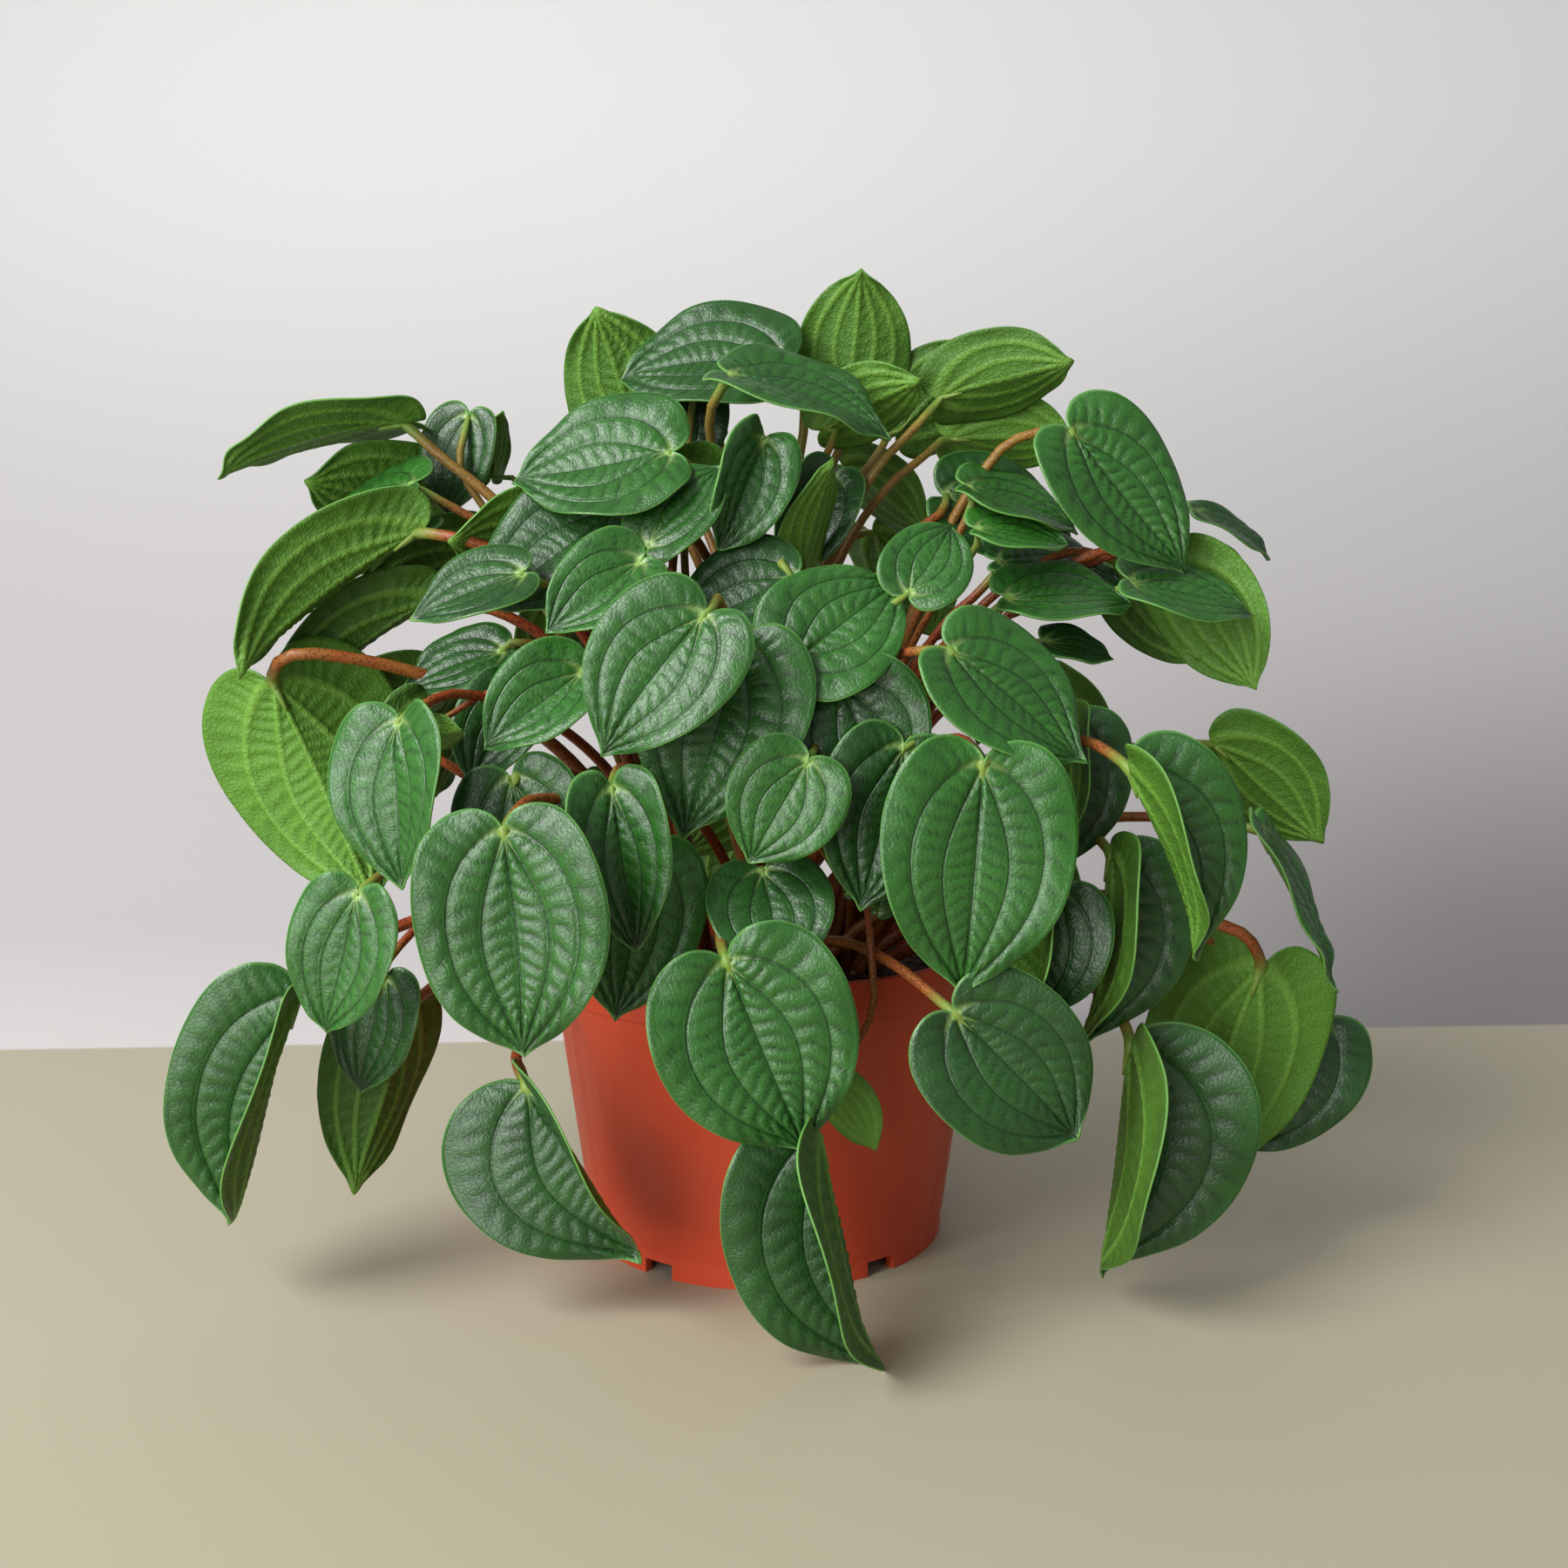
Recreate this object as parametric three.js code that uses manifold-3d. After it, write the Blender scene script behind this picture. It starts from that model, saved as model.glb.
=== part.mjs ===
// A bushy peperomia in a plain tapered nursery pot.
// Millimetres, +Z up. The origin is on the table, in the middle of the pot's foot.
// Bearings are degrees round the pot: 0 is the front (-Y), 90 the right (+X), 180 the back.
import * as THREE from "three";
import { mergeVertices } from "three/addons/utils/BufferGeometryUtils.js";
import Module from "manifold-3d";

const wasm = await Module();
wasm.setup();

// pot
const potHeight = 103;
const rimRadius = 76;
const bandHeight = 14;
const bandStep = 1.6;
const lipThickness = 3;
const lipRound = 1;
const potSegments = 56;
const wall = 2;
const footRadius = 62.5;
const footRingWidth = 3.5;
const ledgeHeight = 8;
const ledgeStep = 0.8;
const notchCount = 5;
const notchWidth = 11;
const notchHeight = 5;
const firstNotchBearing = -34;
const drainHoleRadius = 4;
const drainCircleRadius = 40;
const drainHoleSegments = 16;

// soil
const soilLevel = 91;
const soilCrown = 3;
const soilShoulder = 8;
const soilSegments = 40;
const soilSlack = 1;
const soilEdgeRound = 1.5;
const soilCrownPart = 0.6;
const gap = 0.3;

// plant
const stemRadius = 4.5;
const stalkRadius = 1.8;
const rootDepth = 12;
const stemRootReach = 22;
const stemSteps = 6;
const bladeThickness = 1;
const stalkStandOff = 2.2;
const stalkSides = 6;
const stalkSteps = 8;
const clearance = 0.35;
const padHeight = 0.4;
const crownReach = 65;
const stalkDrop = 45;
const lowestStart = 14;
const highestPart = 0.85;
const lowerPull = { along: 0.25, rise: 0.34 };
const upperPull = { along: 0.3, sway: 0.6 };
const approach = { fromNormal: -0.8, fromMidrib: -0.6 };

// half of a heart-shaped outline, from the tip round to the lobe beside the stalk:
// across in half widths, along in lengths from the joint
const halfOutline = [[0, 1], [0.5, 0.8], [0.95, 0.5], [1, 0.14], [0.56, -0.17]];
const ringFractions = [0.34, 0.68, 1];
const lastSpoke = halfOutline.length - 1;

const up = new THREE.Vector3(0, 0, 1);
const radians = THREE.MathUtils.degToRad;

function outward(bearing) {
  return new THREE.Vector3(Math.sin(radians(bearing)), -Math.cos(radians(bearing)), 0);
}

function place(bearing, reach, height) {
  return outward(bearing).multiplyScalar(reach).setZ(height);
}

// A leaf: where its stalk joins it (bearing, reach, height), which way its top face looks (bearing, and
// tilt down from straight up), how far its tip swings round from downhill, its length and its width.
// Bends: left and right (seen with the tip hanging down) fold each half up from flat and arch curls the
// tip down, all in degrees.
function leaf(name, bearing, reach, height, faces, tilt, swing, length, width, bends = {}) {
  const spread = { left: 10, right: 10, arch: 8, ...bends };
  return { name: `leaf_${name}`, bearing, reach, height, faces, tilt, swing, length, width, ...spread };
}

const crownLeaves = [
  leaf("top_dark", 90, 5, 303, 0, 52, -92, 56, 50, { arch: 20 }),
  leaf("top_grey", -20, 30, 294, 10, 30, 66, 54, 44, { arch: 20 }),
  leaf("top_upright", 125, 35, 289, 180, 75, -175, 47, 42),
  leaf("top_right_folded", 85, 60, 290, 180, 44, -112, 44, 36, { left: 30 }),
  leaf("top_left_upright", -125, 55, 275, 170, 72, 168, 52, 46),
  leaf("top_left_large", -32, 56, 258, -8, 56, -82, 50, 50),
  leaf("crown_folded", 0, 45, 280, 20, 75, -25, 38, 32, { left: 45, right: 30 }),
];

const frontLeaves = [
  leaf("front_upper_left", -10, 96, 216, -5, 70, -35, 48, 46),
  leaf("front_upper_behind", -5, 80, 208, 0, 76, -16, 58, 54),
  leaf("front_upper_right", 7, 78, 203, 0, 66, 130, 42, 44),
  leaf("front_small_heart", -25, 86, 232, 0, 60, -50, 34, 32, { left: 25, right: 25 }),
  leaf("front_pointing_up", -30, 70, 238, -15, 62, 148, 34, 28),
  leaf("front_centre_heart", 8, 95, 174, 0, 80, -30, 33, 36),
  leaf("front_centre_dark", 0, 82, 140, 0, 46, 10, 34, 38),
  leaf("front_large", -5, 110, 118, 5, 78, 22, 56, 60),
  leaf("front_lowest", 8, 113, 76, -4, 84, 14, 69, 68, { left: 12, right: 98 }),
  leaf("front_left_large", -32, 135, 156, -5, 80, 6, 61, 56),
  leaf("front_left_folded", -24, 106, 166, 5, 80, 8, 46, 36, { left: 35, right: 35 }),
  leaf("front_left_behind", -24, 86, 145, 15, 82, -12, 50, 42),
  leaf("front_left_low", -42, 108, 72, -4, 76, 34, 60, 76, { left: 4, right: 78 }),
  leaf("front_right_large", 33, 117, 173, 5, 82, -5, 64, 58),
  leaf("front_right_upper", 33, 102, 200, 10, 62, 46, 50, 44),
  leaf("front_right_low", 29, 116, 101, 5, 78, 44, 50, 50),
];

const leftLeaves = [
  leaf("left_highest", -85, 122, 281, -150, 14, 68, 62, 42, { arch: 22 }),
  leaf("left_high_behind", -100, 117, 262, -150, 55, 100, 50, 42),
  leaf("left_high_front", -76, 119, 259, -40, 34, -64, 40, 38, { arch: 20 }),
  leaf("left_long", -72, 118, 243, -152, 60, 54, 72, 46, { left: 60, arch: 30 }),
  leaf("left_long_lower", -82, 114, 221, -156, 62, 56, 62, 40, { left: 60, arch: 25 }),
  leaf("left_inner_dark", -48, 99, 229, -10, 46, -64, 35, 30),
  leaf("left_underside", -75, 163, 197, 184, 80, -22, 75, 74, { left: 50 }),
  leaf("left_middle", -50, 139, 185, -28, 80, 4, 47, 44, { left: 18, right: 18 }),
  leaf("left_heart", -53, 150, 134, -15, 82, -14, 42, 36),
  leaf("left_low_large", -66, 161, 96, -2, 85, -17, 74, 66, { right: 85 }),
  leaf("left_low_olive", -68, 126, 88, 196, 85, 17, 60, 46, { left: 50 }),
];

const rightLeaves = [
  leaf("right_high_heart", 68, 106, 274, 15, 75, 40, 56, 46),
  leaf("right_inner_flat", 60, 90, 222, 0, 32, 95, 40, 36),
  leaf("right_flat", 71, 125, 227, 15, 36, 72, 40, 36),
  leaf("right_high_underside", 82, 138, 233, 150, 80, -34, 48, 38),
  leaf("right_shoulder", 85, 154, 173, 150, 56, -40, 50, 46),
  leaf("right_edge_on", 75, 167, 147, 64, 58, -8, 54, 34),
  leaf("right_folded", 50, 141, 171, 5, 82, 22, 58, 54, { left: 95 }),
  leaf("right_dark", 61, 125, 141, 10, 82, -8, 58, 60, { left: 92 }),
  leaf("right_low_large", 59, 134, 82, -5, 85, -6, 72, 88, { left: 100 }),
  leaf("right_underside", 75, 168, 101, 174, 85, 15, 75, 64, { right: 40 }),
];

// The far side repeats one plan: tiers of leaves that look outwards, evenly spaced, with alternate lean.
const backTiers = [
  { tier: "back_low", count: 3, from: 130, to: 232, reach: 134, height: 128, tilt: 82, size: [64, 54] },
  { tier: "back_middle", count: 4, from: 115, to: 245, reach: 118, height: 196, tilt: 70, size: [58, 50] },
  { tier: "back_high", count: 2, from: 150, to: 210, reach: 84, height: 256, tilt: 52, size: [50, 44] },
];
const alternateSwing = 16;
const alternateRise = 7;

function backLeaves({ tier, count, from, to, reach, height, tilt, size }) {
  const leaves = [];
  for (let k = 0; k < count; k += 1) {
    const bearing = from + (to - from) * k / (count - 1);
    const side = k % 2 ? 1 : -1;
    const rise = side * alternateRise;
    const swing = side * alternateSwing;
    leaves.push(leaf(`${tier}_${k + 1}`, bearing, reach, height + rise, bearing, tilt, swing, ...size));
  }
  return leaves;
}

// Each shoot is a short stem that carries the stalks of one side of the plant.
const shoots = [
  { name: "shoot_centre", bearing: 0, rootReach: 0, lean: 0, top: 215 },
  { name: "shoot_front", bearing: 0, rootReach: stemRootReach, lean: 8, top: 165 },
  { name: "shoot_right", bearing: 80, rootReach: stemRootReach, lean: 10, top: 185 },
  { name: "shoot_back", bearing: 180, rootReach: stemRootReach, lean: 8, top: 175 },
  { name: "shoot_left", bearing: -80, rootReach: stemRootReach, lean: 10, top: 185 },
];

// ---- solids ----

function solidOf(geometry) {
  const bare = geometry.index ? geometry.clone() : geometry;
  bare.deleteAttribute("normal");
  bare.deleteAttribute("uv");
  const merged = mergeVertices(bare, 1e-4);
  const index = merged.index.array;
  const faces = [];
  for (let i = 0; i < index.length; i += 3) {
    const [a, b, c] = [index[i], index[i + 1], index[i + 2]];
    if (a !== b && b !== c && c !== a) {
      faces.push(a, b, c);
    }
  }
  const vertProperties = new Float32Array(merged.attributes.position.array);
  const solid = (triVerts) => new wasm.Manifold(new wasm.Mesh({ numProp: 3, vertProperties, triVerts }));
  const first = solid(new Uint32Array(faces));
  return first.volume() > 0 ? first : solid(new Uint32Array(faces.reverse()));
}

function geometryOf(solid) {
  const mesh = solid.getMesh();
  const geometry = new THREE.BufferGeometry();
  geometry.setAttribute("position", new THREE.BufferAttribute(mesh.vertProperties, 3));
  geometry.setIndex(new THREE.BufferAttribute(mesh.triVerts, 1));
  geometry.computeVertexNormals();
  return geometry;
}

function lathed(profile, segments) {
  const points = profile.map(([radius, height]) => new THREE.Vector2(radius, height));
  return solidOf(new THREE.LatheGeometry(points, segments).rotateX(Math.PI / 2));
}

function boxesMeet(a, b) {
  return [0, 1, 2].every((i) => a.min[i] < b.max[i] && b.min[i] < a.max[i]);
}

function withBox(solid) {
  return { solid, box: solid.boundingBox() };
}

function isClear(candidate, others) {
  return others.every((other) => !boxesMeet(candidate.box, other.box)
    || candidate.solid.intersect(other.solid).isEmpty());
}

// ---- pot and soil ----

function potSolid() {
  const bandFoot = potHeight - bandHeight;
  const underBand = rimRadius - bandStep;
  const innerTop = rimRadius - lipThickness - lipRound / 2;
  const body = footRadius + ledgeStep;
  const floorTop = ledgeHeight + wall;
  let solid = lathed([
    [0, ledgeHeight], [footRadius - footRingWidth, ledgeHeight], [footRadius - footRingWidth, 0],
    [footRadius, 0], [footRadius, ledgeHeight], [body, ledgeHeight],
    [underBand, bandFoot], [rimRadius - lipRound / 2, bandFoot], [rimRadius, bandFoot + lipRound],
    [rimRadius, potHeight - lipRound], [rimRadius - lipRound, potHeight],
    [innerTop + lipRound, potHeight], [innerTop, potHeight - lipRound],
    [underBand - wall, bandFoot - 3 * lipRound],
    [body - wall, floorTop], [0, floorTop],
  ], potSegments);
  for (let k = 0; k < notchCount; k += 1) {
    const bearing = firstNotchBearing + 360 * k / notchCount;
    const notch = new THREE.BoxGeometry(notchWidth, 4 * footRingWidth, 2 * notchHeight);
    notch.rotateZ(radians(bearing)).translate(...place(bearing, footRadius - footRingWidth / 2, 0));
    solid = solid.subtract(solidOf(notch));
    const hole = new THREE.CylinderGeometry(drainHoleRadius, drainHoleRadius, 4 * wall, drainHoleSegments);
    hole.rotateX(Math.PI / 2).translate(...place(bearing, drainCircleRadius, ledgeHeight + wall / 2));
    solid = solid.subtract(solidOf(hole));
  }
  return solid;
}

function soilSolid(roots) {
  const bottom = ledgeHeight + wall + gap;
  const slope = (rimRadius - bandStep - footRadius - ledgeStep) / (potHeight - bandHeight - ledgeHeight);
  const radiusAt = (height) => footRadius + ledgeStep - wall + slope * (height - ledgeHeight) - 3 * gap;
  const edge = soilLevel - bandStep;
  const shoulder = edge - soilShoulder;
  let solid = lathed([
    [0, bottom], [radiusAt(bottom) - soilSlack, bottom],
    [radiusAt(shoulder) - soilSlack, shoulder], [radiusAt(shoulder) - soilEdgeRound, edge],
    [radiusAt(edge) * soilCrownPart, soilLevel + soilCrown / 2], [0, soilLevel + soilCrown],
  ], soilSegments);
  for (const root of roots) {
    solid = solid.subtract(root);
  }
  return solid;
}

// ---- leaf blades ----

function bladeFrame(spec) {
  const away = outward(spec.faces);
  const tilt = radians(spec.tilt);
  const normal = away.clone().multiplyScalar(Math.sin(tilt)).addScaledVector(up, Math.cos(tilt));
  const downhill = away.clone().multiplyScalar(Math.cos(tilt)).addScaledVector(up, -Math.sin(tilt));
  const midrib = downhill.applyAxisAngle(normal, radians(spec.swing));
  const right = new THREE.Vector3().crossVectors(normal, midrib);
  return { normal, midrib, right };
}

// Bends one flat point of the blade (across and along, in mm) and drops it below the top face by depth.
function bent(spec, frame, across, along, depth) {
  const fold = radians(across < 0 ? spec.left : spec.right) * Math.sign(Math.abs(across));
  const turn = Math.max(radians(spec.arch), 1e-3);
  const angle = turn * along / spec.length;
  const radius = spec.length / turn;
  const sideways = across * Math.cos(fold) + Math.sign(across) * depth * Math.sin(fold);
  const lift = Math.abs(across) * Math.sin(fold) - depth * Math.cos(fold);
  return place(spec.bearing, spec.reach, spec.height)
    .addScaledVector(frame.right, sideways)
    .addScaledVector(frame.midrib, radius * Math.sin(angle) + lift * Math.sin(angle))
    .addScaledVector(frame.normal, radius * (Math.cos(angle) - 1) + lift * Math.cos(angle));
}

// The blade is a thin lens on spokes that fan out from the stalk joint. Top and underside share the rim.
// A small raised pad by the joint marks the underside.
function bladeGeometry(spec, thickness = bladeThickness) {
  const frame = bladeFrame(spec);
  const points = [bent(spec, frame, 0, 0, 0)];
  const key = new Map();
  const corner = (ring, spoke, under) => {
    const onRim = ring === ringFractions.length || Math.abs(spoke) === lastSpoke;
    const label = `${ring},${spoke},${under && !onRim}`;
    if (!key.has(label)) {
      const [across, along] = halfOutline[Math.abs(spoke)];
      const part = ringFractions[ring - 1];
      const x = Math.sign(spoke) * across * part * spec.width / 2;
      const y = along * part * spec.length;
      key.set(label, points.push(bent(spec, frame, x, y, under && !onRim ? thickness : 0)) - 1);
    }
    return key.get(label);
  };
  const faces = [];
  const face = (a, b, c, flip) => faces.push(...(flip ? [a, c, b] : [a, b, c]));
  for (const under of [false, true]) {
    for (let spoke = 0; spoke < lastSpoke; spoke += 1) {
      for (const side of [1, -1]) {
        const flip = under !== (side > 0);
        const [near, far] = [side * spoke, side * (spoke + 1)];
        if (under && side > 0 && spoke === 0) {
          const [a, b] = [corner(1, near, true), corner(1, far, true)];
          const pad = points[0].clone().add(points[a]).add(points[b]).divideScalar(3);
          const padIndex = points.push(pad.addScaledVector(frame.normal, -padHeight)) - 1;
          face(0, b, padIndex, flip);
          face(b, a, padIndex, flip);
          face(a, 0, padIndex, flip);
        } else {
          face(0, corner(1, far, under), corner(1, near, under), flip);
        }
        for (let ring = 1; ring < ringFractions.length; ring += 1) {
          const diagonal = corner(ring + 1, far, under);
          face(corner(ring, near, under), corner(ring, far, under), diagonal, flip);
          face(corner(ring, near, under), diagonal, corner(ring + 1, near, under), flip);
        }
      }
    }
  }
  const geometry = new THREE.BufferGeometry().setFromPoints(points);
  geometry.setIndex(faces);
  return geometry;
}

// A blade that would grow through its neighbours is moved in small steps until it is clear of them.
const shifts = [0, 3, -3, 6, -6, 9, -9, 13, -13];
const turns = [0, 12, -12];

function easedClear(spec, others) {
  for (const distance of shifts) {
    for (const rise of shifts) {
      for (const turn of turns) {
        const reach = spec.reach + distance;
        const moved = { ...spec, reach, height: spec.height + rise, faces: spec.faces + turn };
        const test = withBox(solidOf(bladeGeometry(moved, bladeThickness + 2 * clearance)));
        if (isClear(test, others)) {
          return { spec: moved, ...test };
        }
      }
    }
  }
  throw new Error(`${spec.name} has no clear place`);
}

// ---- stems and stalks ----

function tube(curve, radius, steps) {
  const section = new THREE.Shape();
  for (let k = 0; k < stalkSides; k += 1) {
    const angle = 2 * Math.PI * k / stalkSides;
    const point = [radius * Math.cos(angle), radius * Math.sin(angle)];
    k ? section.lineTo(...point) : section.moveTo(...point);
  }
  return solidOf(new THREE.ExtrudeGeometry(section, { steps, extrudePath: curve, bevelEnabled: false }));
}

function stemCurve(shoot) {
  const from = place(shoot.bearing, shoot.rootReach, soilLevel - rootDepth);
  const to = place(shoot.bearing, shoot.rootReach + shoot.lean, shoot.top);
  return new THREE.LineCurve3(from, to);
}

function shootFor(spec) {
  if (spec.reach <= crownReach) {
    return shoots[0];
  }
  const angleTo = (shoot) => outward(shoot.bearing).angleTo(outward(spec.bearing));
  return shoots.slice(1).reduce((best, shoot) => (angleTo(shoot) < angleTo(best) ? shoot : best));
}

// A stalk leaves its stem steeply, arches over and reaches the joint from behind and below the blade.
function stalkCurve(spec, shoot, lift, sway) {
  const frame = bladeFrame(spec);
  const joint = place(spec.bearing, spec.reach, spec.height);
  const inwards = frame.normal.clone().multiplyScalar(approach.fromNormal)
    .addScaledVector(frame.midrib, approach.fromMidrib);
  const highest = soilLevel + highestPart * (shoot.top - soilLevel);
  const start = THREE.MathUtils.clamp(spec.height - stalkDrop, soilLevel + lowestStart, highest);
  const part = (start - soilLevel + rootDepth) / (shoot.top - soilLevel + rootDepth);
  const from = stemCurve(shoot).getPoint(part);
  const end = joint.clone().addScaledVector(inwards, stalkStandOff);
  const span = from.distanceTo(end);
  const side = new THREE.Vector3().crossVectors(end.clone().sub(from), up).normalize();
  const first = from.clone().lerp(end, lowerPull.along).addScaledVector(up, lowerPull.rise * span * lift);
  const second = end.clone().addScaledVector(inwards, upperPull.along * span);
  first.addScaledVector(side, sway);
  second.addScaledVector(side, upperPull.sway * sway);
  return new THREE.CubicBezierCurve3(from, first, second, end);
}

const sways = [0, 8, -8, 16, -16, 26, -26, 38, -38];
const lifts = [1, 0.6, 1.4, 0.2, 1.9, -0.2];

function clearStalk(spec, shoot, others) {
  for (const lift of lifts) {
    for (const sway of sways) {
      const curve = stalkCurve(spec, shoot, lift, sway);
      if (isClear(withBox(tube(curve, stalkRadius + clearance / 2, stalkSteps)), others)) {
        return tube(curve, stalkRadius, stalkSteps);
      }
    }
  }
  return null;
}

// ---- assembly ----

const plant = new THREE.Group();

function addMesh(name, geometry, colour, roughness) {
  const material = new THREE.MeshStandardMaterial({ color: colour, roughness, metalness: 0 });
  const mesh = new THREE.Mesh(geometry, material);
  mesh.name = name;
  plant.add(mesh);
}

const pot = potSolid();
const stems = shoots.map((shoot) => tube(stemCurve(shoot), stemRadius, stemSteps));
const sockets = shoots.map((shoot) => tube(stemCurve(shoot), stemRadius + gap, stemSteps));
const soil = soilSolid(sockets);
const hardPieces = [withBox(pot), withBox(soil)];

const specs = [
  ...frontLeaves, ...leftLeaves, ...rightLeaves, ...crownLeaves, ...backTiers.flatMap(backLeaves),
];
const blades = [];
for (const spec of specs) {
  blades.push(easedClear(spec, [...hardPieces, ...stems.map(withBox), ...blades]));
}

const grown = shoots.map((shoot, k) => ({ shoot, solid: stems[k] }));
const missing = [];
for (const blade of blades) {
  const own = grown.find((item) => item.shoot === shootFor(blade.spec));
  const others = grown.filter((item) => item !== own).map((item) => withBox(item.solid));
  const stalk = clearStalk(blade.spec, own.shoot, [...hardPieces, ...others, ...blades]);
  if (stalk) {
    own.solid = own.solid.add(stalk);
  } else {
    missing.push(blade.spec.name);
  }
}
if (missing.length) {
  throw new Error(`no clear way for the stalks of ${missing.join(", ")}`);
}

addMesh("pot", geometryOf(pot), 0xc94a2a, 0.5);
addMesh("soil", geometryOf(soil), 0x4a3326, 0.95);
for (const item of grown) {
  addMesh(item.shoot.name, geometryOf(item.solid), 0x9a5a34, 0.6);
}
for (const blade of blades) {
  addMesh(blade.spec.name, bladeGeometry(blade.spec), 0x2f6b3a, 0.45);
}

export default plant;
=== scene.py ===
import math
import random
import bmesh
import bpy
import numpy as np
from mathutils import Matrix, Vector, kdtree, noise
from mathutils.bvhtree import BVHTree


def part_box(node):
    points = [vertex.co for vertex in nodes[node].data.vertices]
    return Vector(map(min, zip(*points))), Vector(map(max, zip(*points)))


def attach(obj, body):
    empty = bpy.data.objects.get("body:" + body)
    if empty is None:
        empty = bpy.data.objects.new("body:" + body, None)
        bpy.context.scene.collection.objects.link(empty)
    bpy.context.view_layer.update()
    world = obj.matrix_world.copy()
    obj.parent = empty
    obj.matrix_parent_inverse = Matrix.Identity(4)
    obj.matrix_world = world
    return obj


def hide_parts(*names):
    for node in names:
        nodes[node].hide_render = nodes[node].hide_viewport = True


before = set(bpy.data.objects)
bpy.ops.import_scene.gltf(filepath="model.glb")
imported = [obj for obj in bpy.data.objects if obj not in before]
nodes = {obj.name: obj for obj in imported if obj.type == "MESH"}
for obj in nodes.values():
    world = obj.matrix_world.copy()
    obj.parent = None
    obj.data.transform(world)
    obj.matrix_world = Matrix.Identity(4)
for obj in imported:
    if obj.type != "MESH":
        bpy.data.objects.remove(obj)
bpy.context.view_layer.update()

mm = 0.001
weldGap = 0.02 * mm
fullTurn = 2 * math.pi
scene = bpy.context.scene


def fromHex(text, alpha=1.0):
    # sRGB hex to the linear colour the shaders want
    parts = [int(text[i:i + 2], 16) / 255 for i in (0, 2, 4)]
    return [p / 12.92 if p <= 0.04045 else ((p + 0.055) / 1.055) ** 2.4 for p in parts] + [alpha]


def feed(tree, node, values):
    # links a socket that comes from another node, and sets any other value on the node's own socket
    for key, value in values.items():
        if isinstance(value, bpy.types.NodeSocket):
            tree.links.new(value, node.inputs[key])
        else:
            node.inputs[key].default_value = value


def addNode(tree, kind, values=None, **settings):
    made = tree.nodes.new(kind)
    for name, value in settings.items():
        setattr(made, name, value)
    feed(tree, made, values or {})
    return made


def scaleFor(size):
    # pattern scale that makes its features this many millimetres across
    return 1000 / size


def newMaterial(name):
    material = bpy.data.materials.new(name)
    material.use_nodes = True
    tree = material.node_tree
    coords = addNode(tree, "ShaderNodeTexCoord").outputs["Object"]
    return material, tree, tree.nodes["Principled BSDF"], coords


def newPiece(name, mesh, materials, replaced=()):
    piece = bpy.data.objects.new(name, mesh)
    scene.collection.objects.link(piece)
    for material in materials:
        mesh.materials.append(material)
    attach(piece, "root")
    if replaced:
        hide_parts(*replaced)
    return piece


def mergedCopy(nodeName):
    bm = bmesh.new()
    bm.from_mesh(nodes[nodeName].data)
    bmesh.ops.remove_doubles(bm, verts=bm.verts, dist=weldGap)
    bm.verts.ensure_lookup_table()
    return bm


def meshFrom(bm, name):
    mesh = bpy.data.meshes.new(name)
    bm.to_mesh(mesh)
    bm.free()
    return mesh


def nextTo(vert):
    return {edge.other_vert(vert) for edge in vert.link_edges}


view = {"distance": 0.539, "height": 0.215, "sideways": 0.0064, "tiltDown": 6.1, "lens": 35.4}


def setCamera():
    data = bpy.data.cameras.new("camera")
    data.lens = view["lens"]
    data.sensor_width = 36
    camera = bpy.data.objects.new("camera", data)
    camera.location = (view["sideways"], -view["distance"], view["height"])
    camera.rotation_euler = (math.radians(90 - view["tiltDown"]), 0, 0)
    scene.collection.objects.link(camera)
    scene.camera = camera


studio = {
    "keyPower": 37, "keySize": 0.9, "keyPlace": (-1.1, -0.95, 1.3),
    "fillPower": 27, "fillSize": 1.25, "fillPlace": (-0.9, -1.45, 0.3),
    "aimAt": (0, 0, 0.15), "skyColour": "F2F3F5", "skyStrength": 0.4,
    # the colour at the wall's foot is painted shade, and so is the colour it darkens to low on the right
    "table": "ADA68F", "wallTop": "FAFAF9", "wallFoot": "CFCBCA", "wallShade": "868181",
    "tableEnds": 0.237, "tableSkew": 0.06, "edgeBlur": 0.006, "wallPale": 1.0,
    # the painted shade fans out from a place in front, by these slopes sideways and up; fanTop is left at the
    # top
    "fanFrom": (-0.54, 0.215), "fanSide": (-0.05, 0.5), "fanUp": (-0.25, 0.05), "fanTop": 0.0,
    "reach": 3.0, "wallAt": 1.8, "wallHeight": 2.4, "sweep": 1.3, "sweepSteps": 32, "grain": 1.1,
}


def setLights():
    for name in ("key", "fill"):
        data = bpy.data.lights.new(name, "AREA")
        data.energy = studio[name + "Power"]
        data.size = studio[name + "Size"]
        lamp = bpy.data.objects.new(name, data)
        lamp.location = studio[name + "Place"]
        aim = Vector(studio["aimAt"]) - lamp.location
        lamp.rotation_euler = aim.to_track_quat("-Z", "Y").to_euler()
        scene.collection.objects.link(lamp)
    world = bpy.data.worlds.new("studio")
    scene.world = world
    world.use_nodes = True
    background = world.node_tree.nodes["Background"]
    background.inputs["Color"].default_value = fromHex(studio["skyColour"])
    background.inputs["Strength"].default_value = studio["skyStrength"]


def ramp(tree, value, start, end, low=0.0, high=1.0):
    # a soft step from low to high while the value goes from start to end
    return addNode(tree, "ShaderNodeMapRange", {
        "Value": value, "From Min": start, "From Max": end, "To Min": low, "To Max": high,
    }, interpolation_type="SMOOTHSTEP").outputs["Result"]


def mixed(tree, factor, a, b):
    blend = addNode(tree, "ShaderNodeMix", {"Factor": factor, "A": a, "B": b}, data_type="RGBA")
    return blend.outputs["Result"]


def calculated(tree, operation, *values):
    return addNode(tree, "ShaderNodeMath", dict(enumerate(values)), operation=operation).outputs["Value"]


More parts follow.
